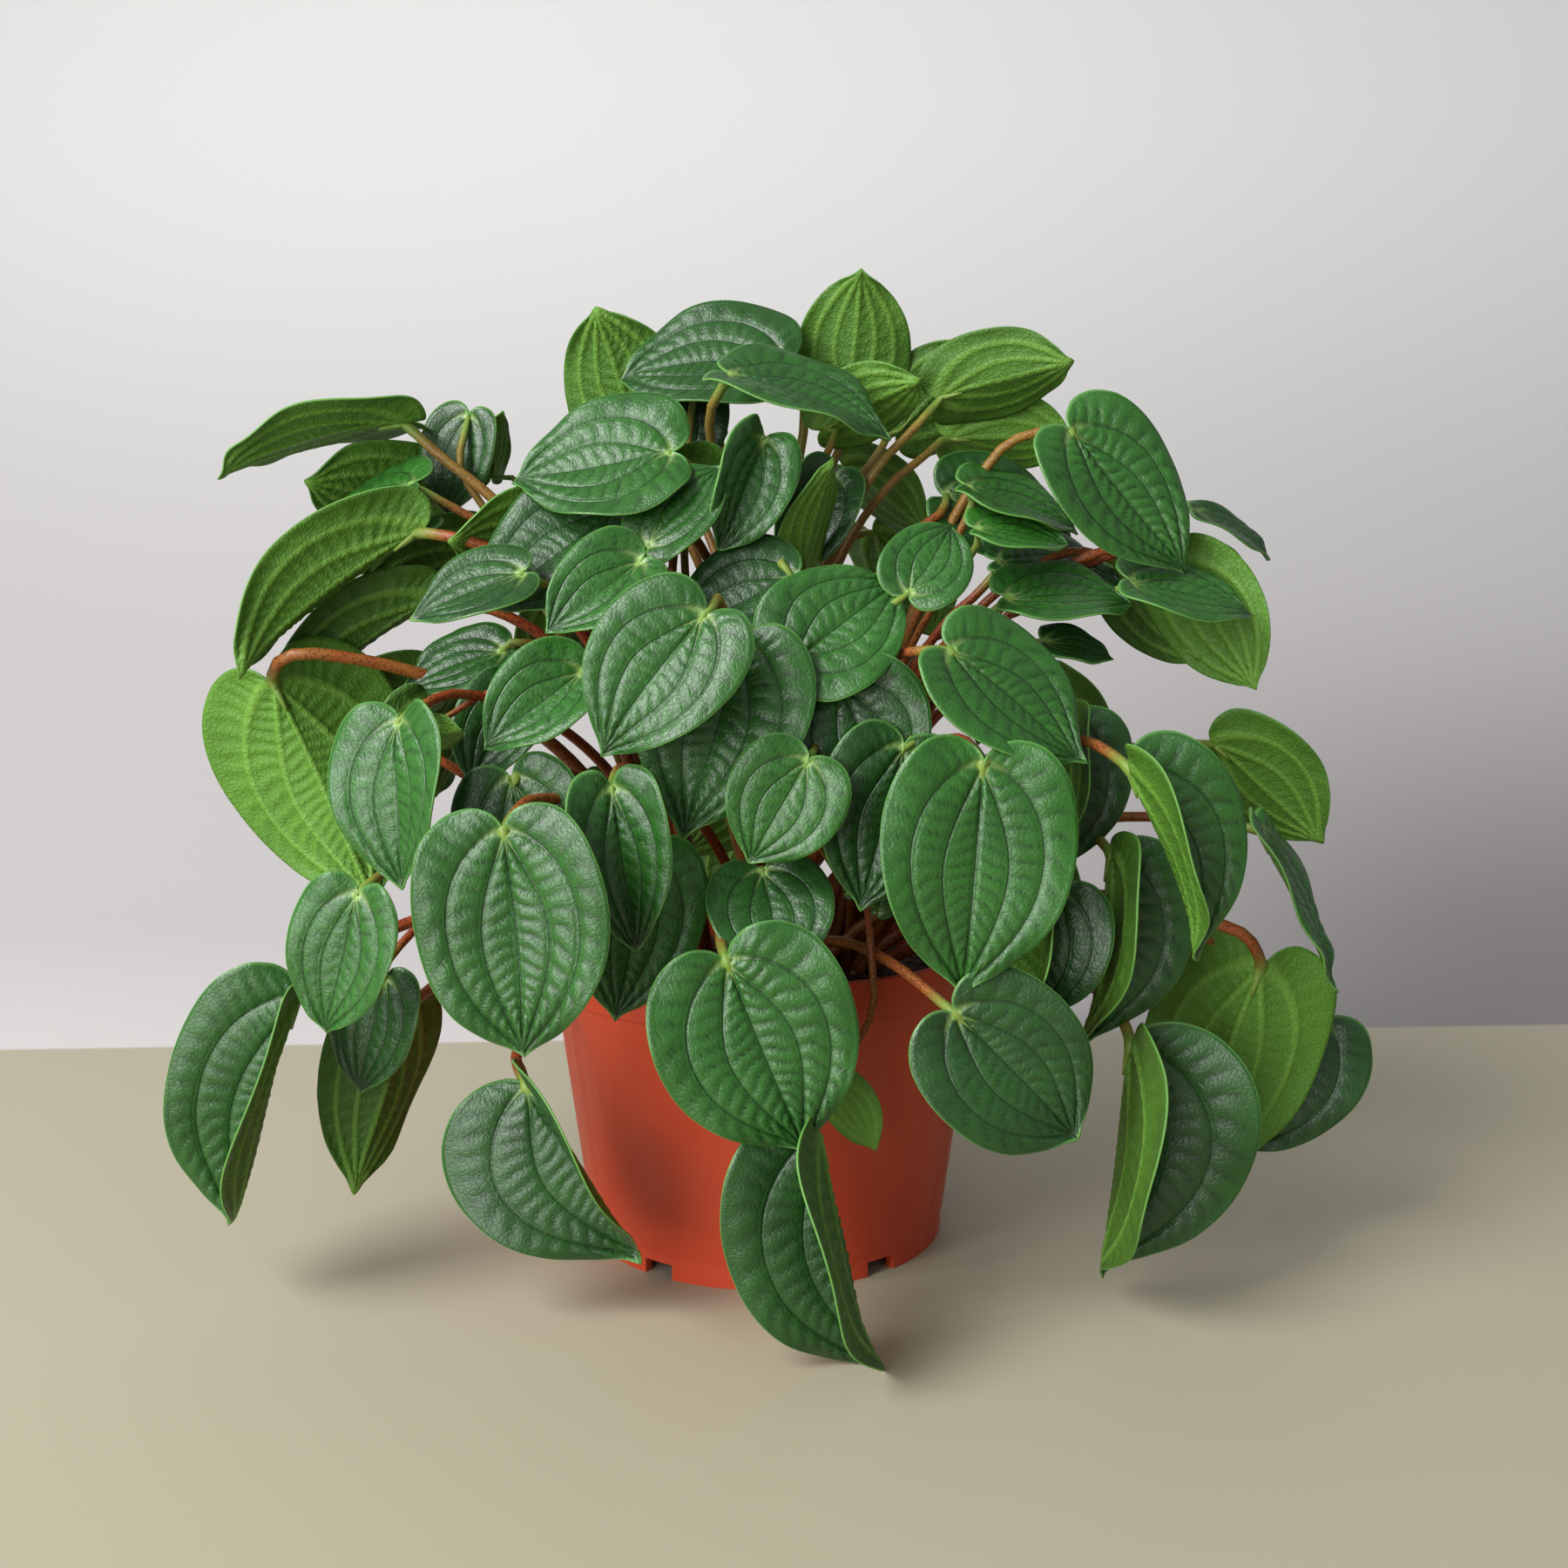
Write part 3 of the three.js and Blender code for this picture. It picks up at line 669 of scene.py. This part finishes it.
def curveThrough(points, t):
    # a smooth curve through the points, even in its share of the length
    p = np.array(points, dtype=float)
    chords = np.linalg.norm(np.diff(p, axis=0), axis=1)
    share = np.concatenate([[0], np.cumsum(chords)]) / chords.sum()
    k = np.clip(np.searchsorted(share, t, side="right") - 1, 0, len(p) - 2)
    u = ((t - share[k]) / (share[k + 1] - share[k]))[:, None]
    p = np.vstack([2 * p[0] - p[1], p, 2 * p[-1] - p[-2]])
    a, b, c, d = p[k], p[k + 1], p[k + 2], p[k + 3]
    square = (2 * a - 5 * b + 4 * c - d) * u ** 2
    cube = (3 * b - a - 3 * c + d) * u ** 3
    return 0.5 * (2 * b + (c - a) * u + square + cube)


def bladeRelief(q, t, spread, posture, rng):
    # height above the smooth blade in mm: sunken ribs, and pillows between the rungs that join them;
    # and how near each point is to a rung
    length = posture.length / mm
    size = min(leafLook["deepest"], length / leafLook["usual"])
    side = np.abs(q)
    ribs = leafLook["mainVeins"]
    groove = np.zeros_like(q)
    for vein in ribs:
        away = np.abs(side - vein) * spread
        depth = leafLook["grooveDepth"] * (1 if vein == 0 else leafLook["sideGroove"])
        groove += depth * np.exp(-(away / leafLook["grooveWidth"]) ** 2)
    groove *= np.clip(np.sin(np.pi * t) * leafLook["grooveEnds"], 0, 1)
    pillows = np.zeros_like(q)
    creases = np.zeros_like(q)
    bounds = list(ribs) + [1.0]
    slowDepth, slowTurns = leafLook["waverSlow"]
    fastDepth, fastTurns, fastLean = leafLook["waverFast"]
    for half in (-1, 1):
        for low, high in zip(bounds, bounds[1:]):
            inside = (side >= low) & (side <= high) & (np.sign(q) * half >= 0)
            s = np.clip((side - low) / (high - low), 0, 1)
            waver = slowDepth * np.sin(slowTurns * t + rng.uniform(0, fullTurn))
            waver += fastDepth * np.sin(fastTurns * t + fastLean * s + rng.uniform(0, fullTurn))
            lean = leafLook["rungLean"] * s ** leafLook["rungCurve"]
            rungs = t * length / leafLook["rung"] - lean + waver + rng.random()
            wave = np.abs(np.sin(np.pi * rungs))
            body = np.sin(np.pi * s) ** leafLook["quiltSides"]
            pillows = np.where(inside, wave ** leafLook["quiltFlat"] * body, pillows)
            creases = np.where(inside, (1 - wave) ** leafLook["creaseSharp"] * body, creases)
    calm = np.clip((1 - side) * leafLook["calmMargin"], 0, 1)
    calm = calm * np.clip(np.sin(np.pi * t) * leafLook["calmEnds"], 0, 1)
    pillows *= leafLook["quiltDepth"] * size * calm * rng.uniform(*leafLook["quiltVaries"])
    ripples = np.sin(rng.uniform(*leafLook["rippleTurns"]) * fullTurn * t + rng.uniform(0, fullTurn))
    swell = np.sin(leafLook["swellAlong"] * t + rng.uniform(0, fullTurn))
    swell = swell * np.sin(leafLook["swellAcross"] * q + rng.uniform(0, fullTurn))
    waves = leafLook["ripple"] * side ** leafLook["rippleEdge"] * ripples + leafLook["swell"] * swell
    return pillows + (waves - groove) * size, creases * calm


def makeBlade(name, posture, age, replaced=()):
    rng = random.Random(name + str(leafLook["seed"]))
    bm = bmesh.new()
    across = round(2 * posture.halfWidth / mm / leafLook["acrossStep"])
    along = round(posture.length / mm / leafLook["alongStep"])
    bmesh.ops.create_grid(bm, x_segments=across, y_segments=along, size=1)
    bm.verts.ensure_lookup_table()
    q = np.array([v.co.x for v in bm.verts])
    t = np.array([v.co.y for v in bm.verts]) / 2 + 0.5
    point = rng.uniform(*leafLook["pointiness"])
    outline = np.array(leafLook["round"]) * (1 - point) + np.array(leafLook["pointed"]) * point
    margin = curveThrough(outline, t)
    x = q * margin[:, 0]
    y = t * (1 - q ** 2) + margin[:, 1] * q ** 2
    lean = rng.uniform(-leafLook["lean"], leafLook["lean"])
    x = x + lean * np.sin(np.pi * np.clip(y, 0, 1))
    spread = margin[:, 0] * posture.halfWidth / mm
    height, creases = bladeRelief(q, t, spread, posture, rng)
    curl = rng.uniform(*leafLook["curlVaries"]) * leafLook["tipCurl"]
    curl = curl * posture.length / (leafLook["usual"] * mm)
    height -= curl * np.clip((y - leafLook["tipFrom"]) / (1 - leafLook["tipFrom"]), 0, 1) ** 2
    places = posture.at(x, y) + posture.normals(x, y) * (height * mm)[:, None]
    # a tip that hangs lowest rests on the table
    places[:, 2] = np.maximum(places[:, 2], leafLook["thickness"] * mm)
    toJoint = np.hypot(x * posture.halfWidth, y * posture.length) / mm
    layers = [bm.verts.layers.float.new(label) for label in ("spread", "age", "toJoint", "crease")]
    veins = bm.loops.layers.uv.new("veins")
    flat = bm.loops.layers.uv.new("flat")
    flatX = x * posture.halfWidth * leafLook["flatUnit"]
    flatY = y * posture.length * leafLook["flatUnit"]
    for i, v in enumerate(bm.verts):
        for layer, value in zip(layers, (spread[i], age, toJoint[i], creases[i])):
            v[layer] = value
        for loop in v.link_loops:
            loop[veins].uv = ((q[i] + 1) / 2, t[i])
            loop[flat].uv = (flatX[i], flatY[i])
        v.co = places[i]
    bmesh.ops.reverse_faces(bm, faces=bm.faces)
    # all of the first row meets in the joint, and all of the last one in the tip
    ends = [[v for v, share in zip(bm.verts, t) if abs(share - end) < 1e-6] for end in (0, 1)]
    for row in ends:
        bmesh.ops.pointmerge(bm, verts=row, merge_co=Vector(row[0].co))
    for face in bm.faces:
        face.smooth = True
    piece = newPiece(name, meshFrom(bm, name), leafSkins, replaced)
    shell = piece.modifiers.new("thickness", "SOLIDIFY")
    shell.thickness = leafLook["thickness"] * mm
    shell.offset = -1
    shell.material_offset = 1
    shell.material_offset_rim = 2


# how old each leaf looks by the words in its name, and how much painted shade it carries: words such as dark
# and low mark leaves in shadow; 0 is the oldest and darkest, 1 is a new one
ageAndShadeWords = {"dark": 0.05, "grey": 0.1, "upright": 0.4, "underside": 0.6, "heart": 0.5, "high": 0.5,
            "back": 0.3, "folded": 0.3, "small": 0.6, "olive": 0.1, "large": 0.35, "flat": 0.35,
            "low": 0.0}
ageAndShadeMix = {"noWord": 0.4, "words": 0.8, "spread": 0.2, "steps": 17}


def ageOf(name):
    # mostly the mean of its words, and a little of a spread that depends on the name alone
    found = [value for word, value in ageAndShadeWords.items() if word in name]
    spot = sum(ord(letter) for letter in name) % ageAndShadeMix["steps"] / ageAndShadeMix["steps"]
    words = sum(found) / len(found) if found else ageAndShadeMix["noWord"]
    return words * ageAndShadeMix["words"] + ageAndShadeMix["spread"] * spot


for name in leafNodes:
    makeBlade(name.replace("leaf_", "blade_"), postures[name], ageOf(name), [name])
print("blades made:", len(leafNodes))


stalkLook = {
    "seed": 7, "sides": 10, "steps": 34, "joint": 1.6, "root": 2.2, "bundle": 8,
    "packedSides": 6, "capOff": 2.2, "rootReach": 35, "footSlack": 0.5, "behind": (-0.8, -0.6),
    "ease": 60, "easeStep": 0.9, "heldTo": 0.12, "freeOver": 0.3, "bendAt": 0.45, "bendUp": 0.12,
    "intoRib": 8, "ribAt": (1, 0.7, 0.4, 0.15), "ribSink": 0.12, "ribUnder": 0.5,
    "ribEnd": 0.35, "ribStart": 0.75, "swelling": 0.35, "swellLong": 2.5,
    "red": "93381B", "skin": "7C873B", "green": "5E8A33",
    "speck": "451409", "patch": 11, "dots": 0.8, "redFrom": 16, "greenHigh": (250, 310), "paler": 0.7,
    "blush": (0.85, 1.0),
}


def stalkSkin():
    # living leaf stalk: succulent, rusty red with fine specks, going yellow-green towards the blade
    material, tree, shader, coords = newMaterial("succulent leaf stalk")
    toBlade = addNode(tree, "ShaderNodeAttribute", attribute_name="toBlade").outputs["Fac"]
    blush = addNode(tree, "ShaderNodeAttribute", attribute_name="blush").outputs["Fac"]
    patch = clouds(tree, coords, stalkLook["patch"], 3.0)
    dots = clouds(tree, coords, stalkLook["dots"])
    red = calculated(tree, "MULTIPLY", ramp(tree, toBlade, 2.0, stalkLook["redFrom"]), blush)
    redness = calculated(tree, "MULTIPLY", red, ramp(tree, patch, 0.3, 0.7, 0.85, 1.0))
    base = mixed(tree, patch, fromHex(stalkLook["green"]), fromHex(stalkLook["skin"]))
    colour = mixed(tree, redness, base, fromHex(stalkLook["red"]))
    specks = calculated(tree, "MULTIPLY", ramp(tree, dots, 0.5, 0.6, 0.0, 0.8), redness)
    colour = mixed(tree, specks, colour, fromHex(stalkLook["speck"]))
    bump = addNode(tree, "ShaderNodeBump", {"Height": dots, "Strength": 0.25, "Distance": 0.2 * mm})
    feed(tree, shader, {
        "Base Color": colour, "Normal": bump.outputs["Normal"], "Roughness": 0.42, "IOR": 1.4})
    return material


class Shoot:
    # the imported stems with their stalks: finds the way from a blade's joint down to the root
    def __init__(self, name):
        self.name = name
        self.bm = mergedCopy(name)
        self.tree = kdtree.KDTree(len(self.bm.verts))
        for v in self.bm.verts:
            self.tree.insert(v.co, v.index)
        self.tree.balance()
        inner = [v.co for v in self.bm.verts if v.co.xy.length < stalkLook["rootReach"] * mm]
        lowest = min(place.z for place in inner)
        foot = [place for place in inner if place.z < lowest + stalkLook["footSlack"] * mm]
        self.root = sum(foot, Vector()) / len(foot)

    def capAt(self, posture):
        along, normal = posture.axes()
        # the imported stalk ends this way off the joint: under the blade, and back from the joint
        offNormal, offAlong = stalkLook["behind"]
        place = posture.joint() + stalkLook["capOff"] * mm * (offNormal * normal + offAlong * along)
        found = self.tree.find_n(place, stalkLook["packedSides"])
        return [self.bm.verts[index] for _, index, _ in found], max(gap for _, _, gap in found)

    def centres(self, cap):
        ring, seen = set(cap), set(cap)
        route = []
        while len(ring) == stalkLook["packedSides"]:
            route.append(sum((v.co for v in ring), Vector()) / len(ring))
            ring = {w for v in ring for w in nextTo(v)} - seen
            seen |= ring
        return route


shoots = [Shoot(name) for name in sorted(nodes) if name.startswith("shoot_")]


def smoothRoute(points):
    # even steps along the points, eased more and more towards the root, where stalks crowd and straighten
    steps = stalkLook["steps"]
    p = curveThrough([tuple(point) for point in points], np.linspace(0, 1, steps))
    free = (np.linspace(0, 1, steps) - stalkLook["heldTo"]) / stalkLook["freeOver"]
    free = np.clip(free, 0, 1)[1:-1, None]
    for _ in range(stalkLook["ease"]):
        middle = (p[:-2] + p[2:]) / 2
        p[1:-1] += (middle - p[1:-1]) * free * stalkLook["easeStep"]
    return [Vector(point) for point in p]


routes = {}
homes = {}
for name in leafNodes:
    posture = postures[name]
    shoot = min(shoots, key=lambda each: each.capAt(posture)[1])
    cap, _ = shoot.capAt(posture)
    route = shoot.centres(cap)
    homes[name] = shoot
    routes[name] = route[:max(1, len(route) - 1)]
print("stalk routes:", len(routes), "shortest:", min(len(route) for route in routes.values()))


stalkMeshes = {shoot.name: bmesh.new() for shoot in shoots}
for bm in stalkMeshes.values():
    for label in ("toBlade", "blush"):
        bm.verts.layers.float.new(label)


def makeStalk(name, posture, shoot, route):
    # a round tube from the root to the joint, thickest at the root, running out into the midrib
    rng = random.Random(name + str(stalkLook["seed"]))
    size = (posture.length / (leafLook["usual"] * mm)) ** 0.5
    along, normal = posture.axes()
    joint = posture.joint() - normal * leafLook["thickness"] * mm * 0.5
    swing = rng.uniform(0, fullTurn)
    away = stalkLook["bundle"] * mm * math.sqrt(rng.random())
    root = shoot.root + Vector((math.cos(swing), math.sin(swing), 0)) * away
    low = root.lerp(route[-1], stalkLook["bendAt"])
    low = low + Vector((0, 0, (route[-1].z - root.z) * stalkLook["bendUp"]))
    way = smoothRoute([joint] + route + [low, root])
    inward = along - stalkLook["ribSink"] * normal
    rib = [joint + inward * stalkLook["intoRib"] * mm * size * part - normal * stalkLook["ribUnder"] * mm
           for part in stalkLook["ribAt"]]
    way = rib + way
    gone = -stalkLook["intoRib"]
    radii = []
    lengths = []
    for i, place in enumerate(way):
        if i:
            gone += (place - way[i - 1]).length / mm
        lengths.append(gone)
    total = lengths[-1]
    for gone in lengths:
        if gone < 0:
            wider = stalkLook["ribStart"] * stalkLook["joint"] - stalkLook["ribEnd"]
            radii.append(stalkLook["ribEnd"] + wider * (1 + gone / stalkLook["intoRib"]))
        else:
            swelling = stalkLook["swelling"] * math.exp(-(gone / stalkLook["swellLong"]) ** 2)
            part = gone / total
            radii.append(stalkLook["joint"] * (1 - part) + stalkLook["root"] * part + swelling)
    bm = stalkMeshes[shoot.name]
    toBlade = bm.verts.layers.float["toBlade"]
    blushLayer = bm.verts.layers.float["blush"]
    # stalks that reach the crown stay green
    greenFrom, greenFull = stalkLook["greenHigh"]
    high = min(1, max(0, (posture.joint().z / mm - greenFrom) / (greenFull - greenFrom)))
    blush = (1 - stalkLook["paler"] * high) * rng.uniform(*stalkLook["blush"])
    made = bmesh.ops.create_circle(bm, cap_ends=True, segments=stalkLook["sides"], radius=1)
    ring = made["verts"]
    edges = list({edge for v in ring for edge in v.link_edges if edge.other_vert(v) in ring})
    side = None
    unit = [Vector(v.co) for v in ring]
    for i, place in enumerate(way):
        ahead = way[min(i + 1, len(way) - 1)] - way[max(i - 1, 0)]
        if side is None:
            side = ahead.orthogonal().normalized()
        else:
            side = (side - ahead * side.dot(ahead) / ahead.length_squared).normalized()
        up = ahead.normalized().cross(side)
        if i:
            made = bmesh.ops.extrude_edge_only(bm, edges=edges)
            ring = [g for g in made["geom"] if isinstance(g, bmesh.types.BMVert)]
            edges = [g for g in made["geom"] if isinstance(g, bmesh.types.BMEdge)
                     and g.verts[0] in ring and g.verts[1] in ring]
        for v, flat in zip(ring, unit):
            v.co = place + (side * flat.x + up * flat.y) * radii[i] * size * mm
            v[toBlade] = lengths[i]
            v[blushLayer] = blush
    bmesh.ops.contextual_create(bm, geom=edges)


for name in leafNodes:
    makeStalk(name, postures[name], homes[name], routes[name])


# the imported leaf it grows by; mm to the right, back and up; degrees of spin about its face, nod about its
# width and swing about the upright; its share of that leaf's size; how new it is, set low also as painted
# shade for a leaf in shadow; its share of the width
companions = {
    "crown_right_small": ("right_inner_flat", (-10, 0, 22), (0, 10, 0), 0.75, 0.8),
    "crown_right_tip": ("right_inner_flat", (-11, 15, 36), (-12, 15, 0), 0.95, 0.35),
    "crown_right_shaded": ("front_right_upper", (6, 77, 51), (20, 0, 0), 1.0, 0.05),
    "crown_right_behind": ("right_inner_flat", (0, 22, 12), (0, 10, 0), 1.15, 0.05),
    "crown_right_low": ("right_flat", (-27, 1, -19), (0, 0, 0), 0.55, 0.1),
    "crown_heart_right": ("front_upper_right", (35, 10, 20), (20, 0, 0), 0.65, 0.45),
    "crown_narrow": ("top_upright", (-17, -58, -60), (-8, 0, 62), 0.8, 1.3),
    "crown_dark_behind": ("crown_folded", (23, 35, -8), (0, 0, -20), 1.0, 0.05),
    "crown_centre_dark": ("top_left_large", (39, -14, -39), (20, 0, 0), 0.8, 0.05),
    "crown_under_grey": ("top_right_folded", (-40, 5, -10), (-12, 0, 0), 0.85, 0.6),
    "crown_under_left": ("left_high_behind", (100, -45, 5), (-45, 0, 0), 0.85, 0.7),
    "crown_arch_left": ("left_high_behind", (80, -35, 5), (-25, 0, 0), 0.95, 0.75),
    "crown_left_shaded": ("front_left_behind", (10, 89, 150), (0, 0, 0), 0.7, 0.05),
    "crown_left_tip": ("top_dark", (-50, 35, -15), (0, -25, 0), 0.4, 0.1),
    "crown_right_upright": ("top_upright", (19, 5, -7), (35, 0, 0), 0.85, 0.2),
    "crown_right_under": ("top_right_folded", (5, 12, -12), (18, 0, 0), 0.95, 0.85),
    "crown_left_lower": ("top_left_large", (-17, -5, -17), (35, 0, 0), 1.0, 0.1),
    "left_crown_dark": ("left_heart", (18, 90, 150), (0, 0, 0), 0.8, 0.05),
    "left_spike": ("top_left_upright", (-52, -22, -10), (0, 0, 70), 0.45, 0.3),
    "left_crown_under": ("left_high_behind", (50, -45, -15), (-8, 0, 0), 0.95, 0.5),
    "left_crown_behind": ("left_high_behind", (17, -15, -13), (-30, 0, 0), 0.9, 0.2),
    "left_olive_small": ("left_high_behind", (-1, -30, -65), (-20, 0, 0), 0.8, 0.15),
    "left_dark_small": ("left_inner_dark", (-11, 26, -24), (0, 0, 0), 0.95, 0.1),
    "left_narrow": ("left_low_olive", (10, -3, 104), (0, 0, 35), 0.7, 0.1),
    "left_small_under": ("top_right_folded", (-168, -65, -112), (0, 0, 0), 0.45, 0.9),
    "left_low_dark": ("left_heart", (0, 30, -32), (0, 0, 0), 0.9, 0.05),
    "front_left_heart": ("front_small_heart", (-18, 3, -33), (0, 0, 0), 1.05, 0.55),
    "front_left_dark": ("front_small_heart", (-40, 28, -39), (25, 0, 0), 1.0, 0.15),
    "front_left_round": ("front_left_large", (-3, 30, 12), (10, 0, 0), 0.75, 0.1),
    "front_right_shaded": ("front_right_large", (-22, 14, 4), (-10, 0, 0), 0.75, 0.05),
    "front_centre_lower": ("front_centre_heart", (10, 17, 22), (50, 0, 0), 1.25, 0.15),
    "front_small_under": ("right_high_underside", (-116, -66, -157), (0, 0, 15), 0.5, 0.9),
    "right_small_dark": ("right_dark", (-20, -24, -8), (0, 0, -20), 0.65, 0.1),
    "right_small_under": ("right_high_underside", (-62, -56, -115), (0, 0, 20), 0.6, 0.95),
    "right_low_behind": ("front_right_large", (126, 71, -94), (-35, 0, 0), 0.85, 0.05),
    "right_hanging_olive": ("right_high_underside", (-16, 6, 0), (-10, 0, 0), 0.9, 0.15),
    "right_hanging_small": ("right_high_underside", (14, 18, 2), (12, 0, 0), 0.7, 0.1),
    "right_high_edge": ("top_grey", (160, 30, -42), (10, 15, 0), 0.6, 0.1, 0.7),
    "right_inner_shaded": ("right_dark", (-12, 10, 42), (0, 0, 0), 0.8, 0.05),
    "sprout_front": ("front_pointing_up", (72, 16, -118), (0, 0, 0), 0.35, 0.6),
    "sprout_front_small": ("front_pointing_up", (62, 22, -112), (-40, 0, 0), 0.25, 0.7),
}

# the far side fills up by one plan: a smaller leaf further in and higher than each packed one, turned aside
backFill = {"inward": 0.3, "rise": 24, "spin": 24, "swing": 12, "size": 0.8, "age": 0.3}
for k, name in enumerate(name for name in leafNodes if name.startswith("leaf_back")):
    joint = postures[name].joint()
    side = 1 if k % 2 else -1
    inward = -joint * backFill["inward"] / mm
    companions[name.replace("leaf_", "") + "_inner"] = (
        name.replace("leaf_", ""), (inward.x, inward.y, backFill["rise"]),
        (side * backFill["spin"], 0, side * backFill["swing"]), backFill["size"], backFill["age"])


def turned(posture, spin, nod, swing):
    along, normal = posture.axes()
    right = normal.cross(along)
    turn = Matrix.Rotation(math.radians(swing), 4, "Z")
    turn = turn @ Matrix.Rotation(math.radians(nod), 4, right)
    return turn @ Matrix.Rotation(math.radians(spin), 4, normal)


makeRoom = {
    "grid": (8, 10), "reaches": (0, 4, 8, 12, 16),
    "ways": [(0, 1, 0), (0, 0, 1), (0, 0, -1), (1, 0, 0), (-1, 0, 0), (0, -1, 0),
             (0.7, 0.7, 0), (-0.7, 0.7, 0)],
}


def proxy(posture):
    # a coarse blade, only to test what it would grow through
    bm = bmesh.new()
    across, along = makeRoom["grid"]
    bmesh.ops.create_grid(bm, x_segments=across, y_segments=along, size=1)
    q = np.array([v.co.x for v in bm.verts])
    t = np.array([v.co.y for v in bm.verts]) / 2 + 0.5
    margin = curveThrough(leafLook["round"], t)
    places = posture.at(q * margin[:, 0], t * (1 - q ** 2) + margin[:, 1] * q ** 2)
    for v, place in zip(bm.verts, places):
        v.co = place
    tree = BVHTree.FromBMesh(bm)
    bm.free()
    return tree


taken = [proxy(posture) for posture in postures.values()]
easing = [Vector(way) * reach for reach in makeRoom["reaches"] for way in makeRoom["ways"]]


def easedPosture(parent, shift, turn, size, narrow):
    # steps aside a little at a time until the blade is clear of its neighbours
    best = None
    for step in easing:
        offset = (Vector(shift) + step) * mm
        posture = parent.moved(turned(parent, *turn), parent.joint() + offset, size, narrow)
        shape = proxy(posture)
        crossings = sum(len(shape.overlap(other)) for other in taken)
        if best is None or crossings < best[0]:
            best = (crossings, posture, offset, shape)
        if crossings == 0:
            break
    taken.append(best[3])
    return best


crowded = []
for name, (beside, shift, turn, size, age, *narrow) in companions.items():
    parent = postures["leaf_" + beside]
    crossings, posture, offset, _ = easedPosture(parent, shift, turn, size, narrow[0] if narrow else 1)
    if crossings:
        crowded.append((name, crossings))
    makeBlade("blade_" + name, posture, age)
    way = routes["leaf_" + beside]
    route = [point + offset * (1 - (i + 1) / (len(way) + 1)) for i, point in enumerate(way)]
    makeStalk(name, posture, homes["leaf_" + beside], route)
print("companions:", len(companions), "still crossing another blade:", crowded)

stalkMaterial = stalkSkin()
for shoot in shoots:
    bm = stalkMeshes[shoot.name]
    bmesh.ops.recalc_face_normals(bm, faces=bm.faces)
    for face in bm.faces:
        face.smooth = True
    name = shoot.name.replace("shoot_", "stalks_")
    newPiece(name, meshFrom(bm, name), [stalkMaterial], [shoot.name])
print("stalks made:", len(leafNodes) + len(companions))
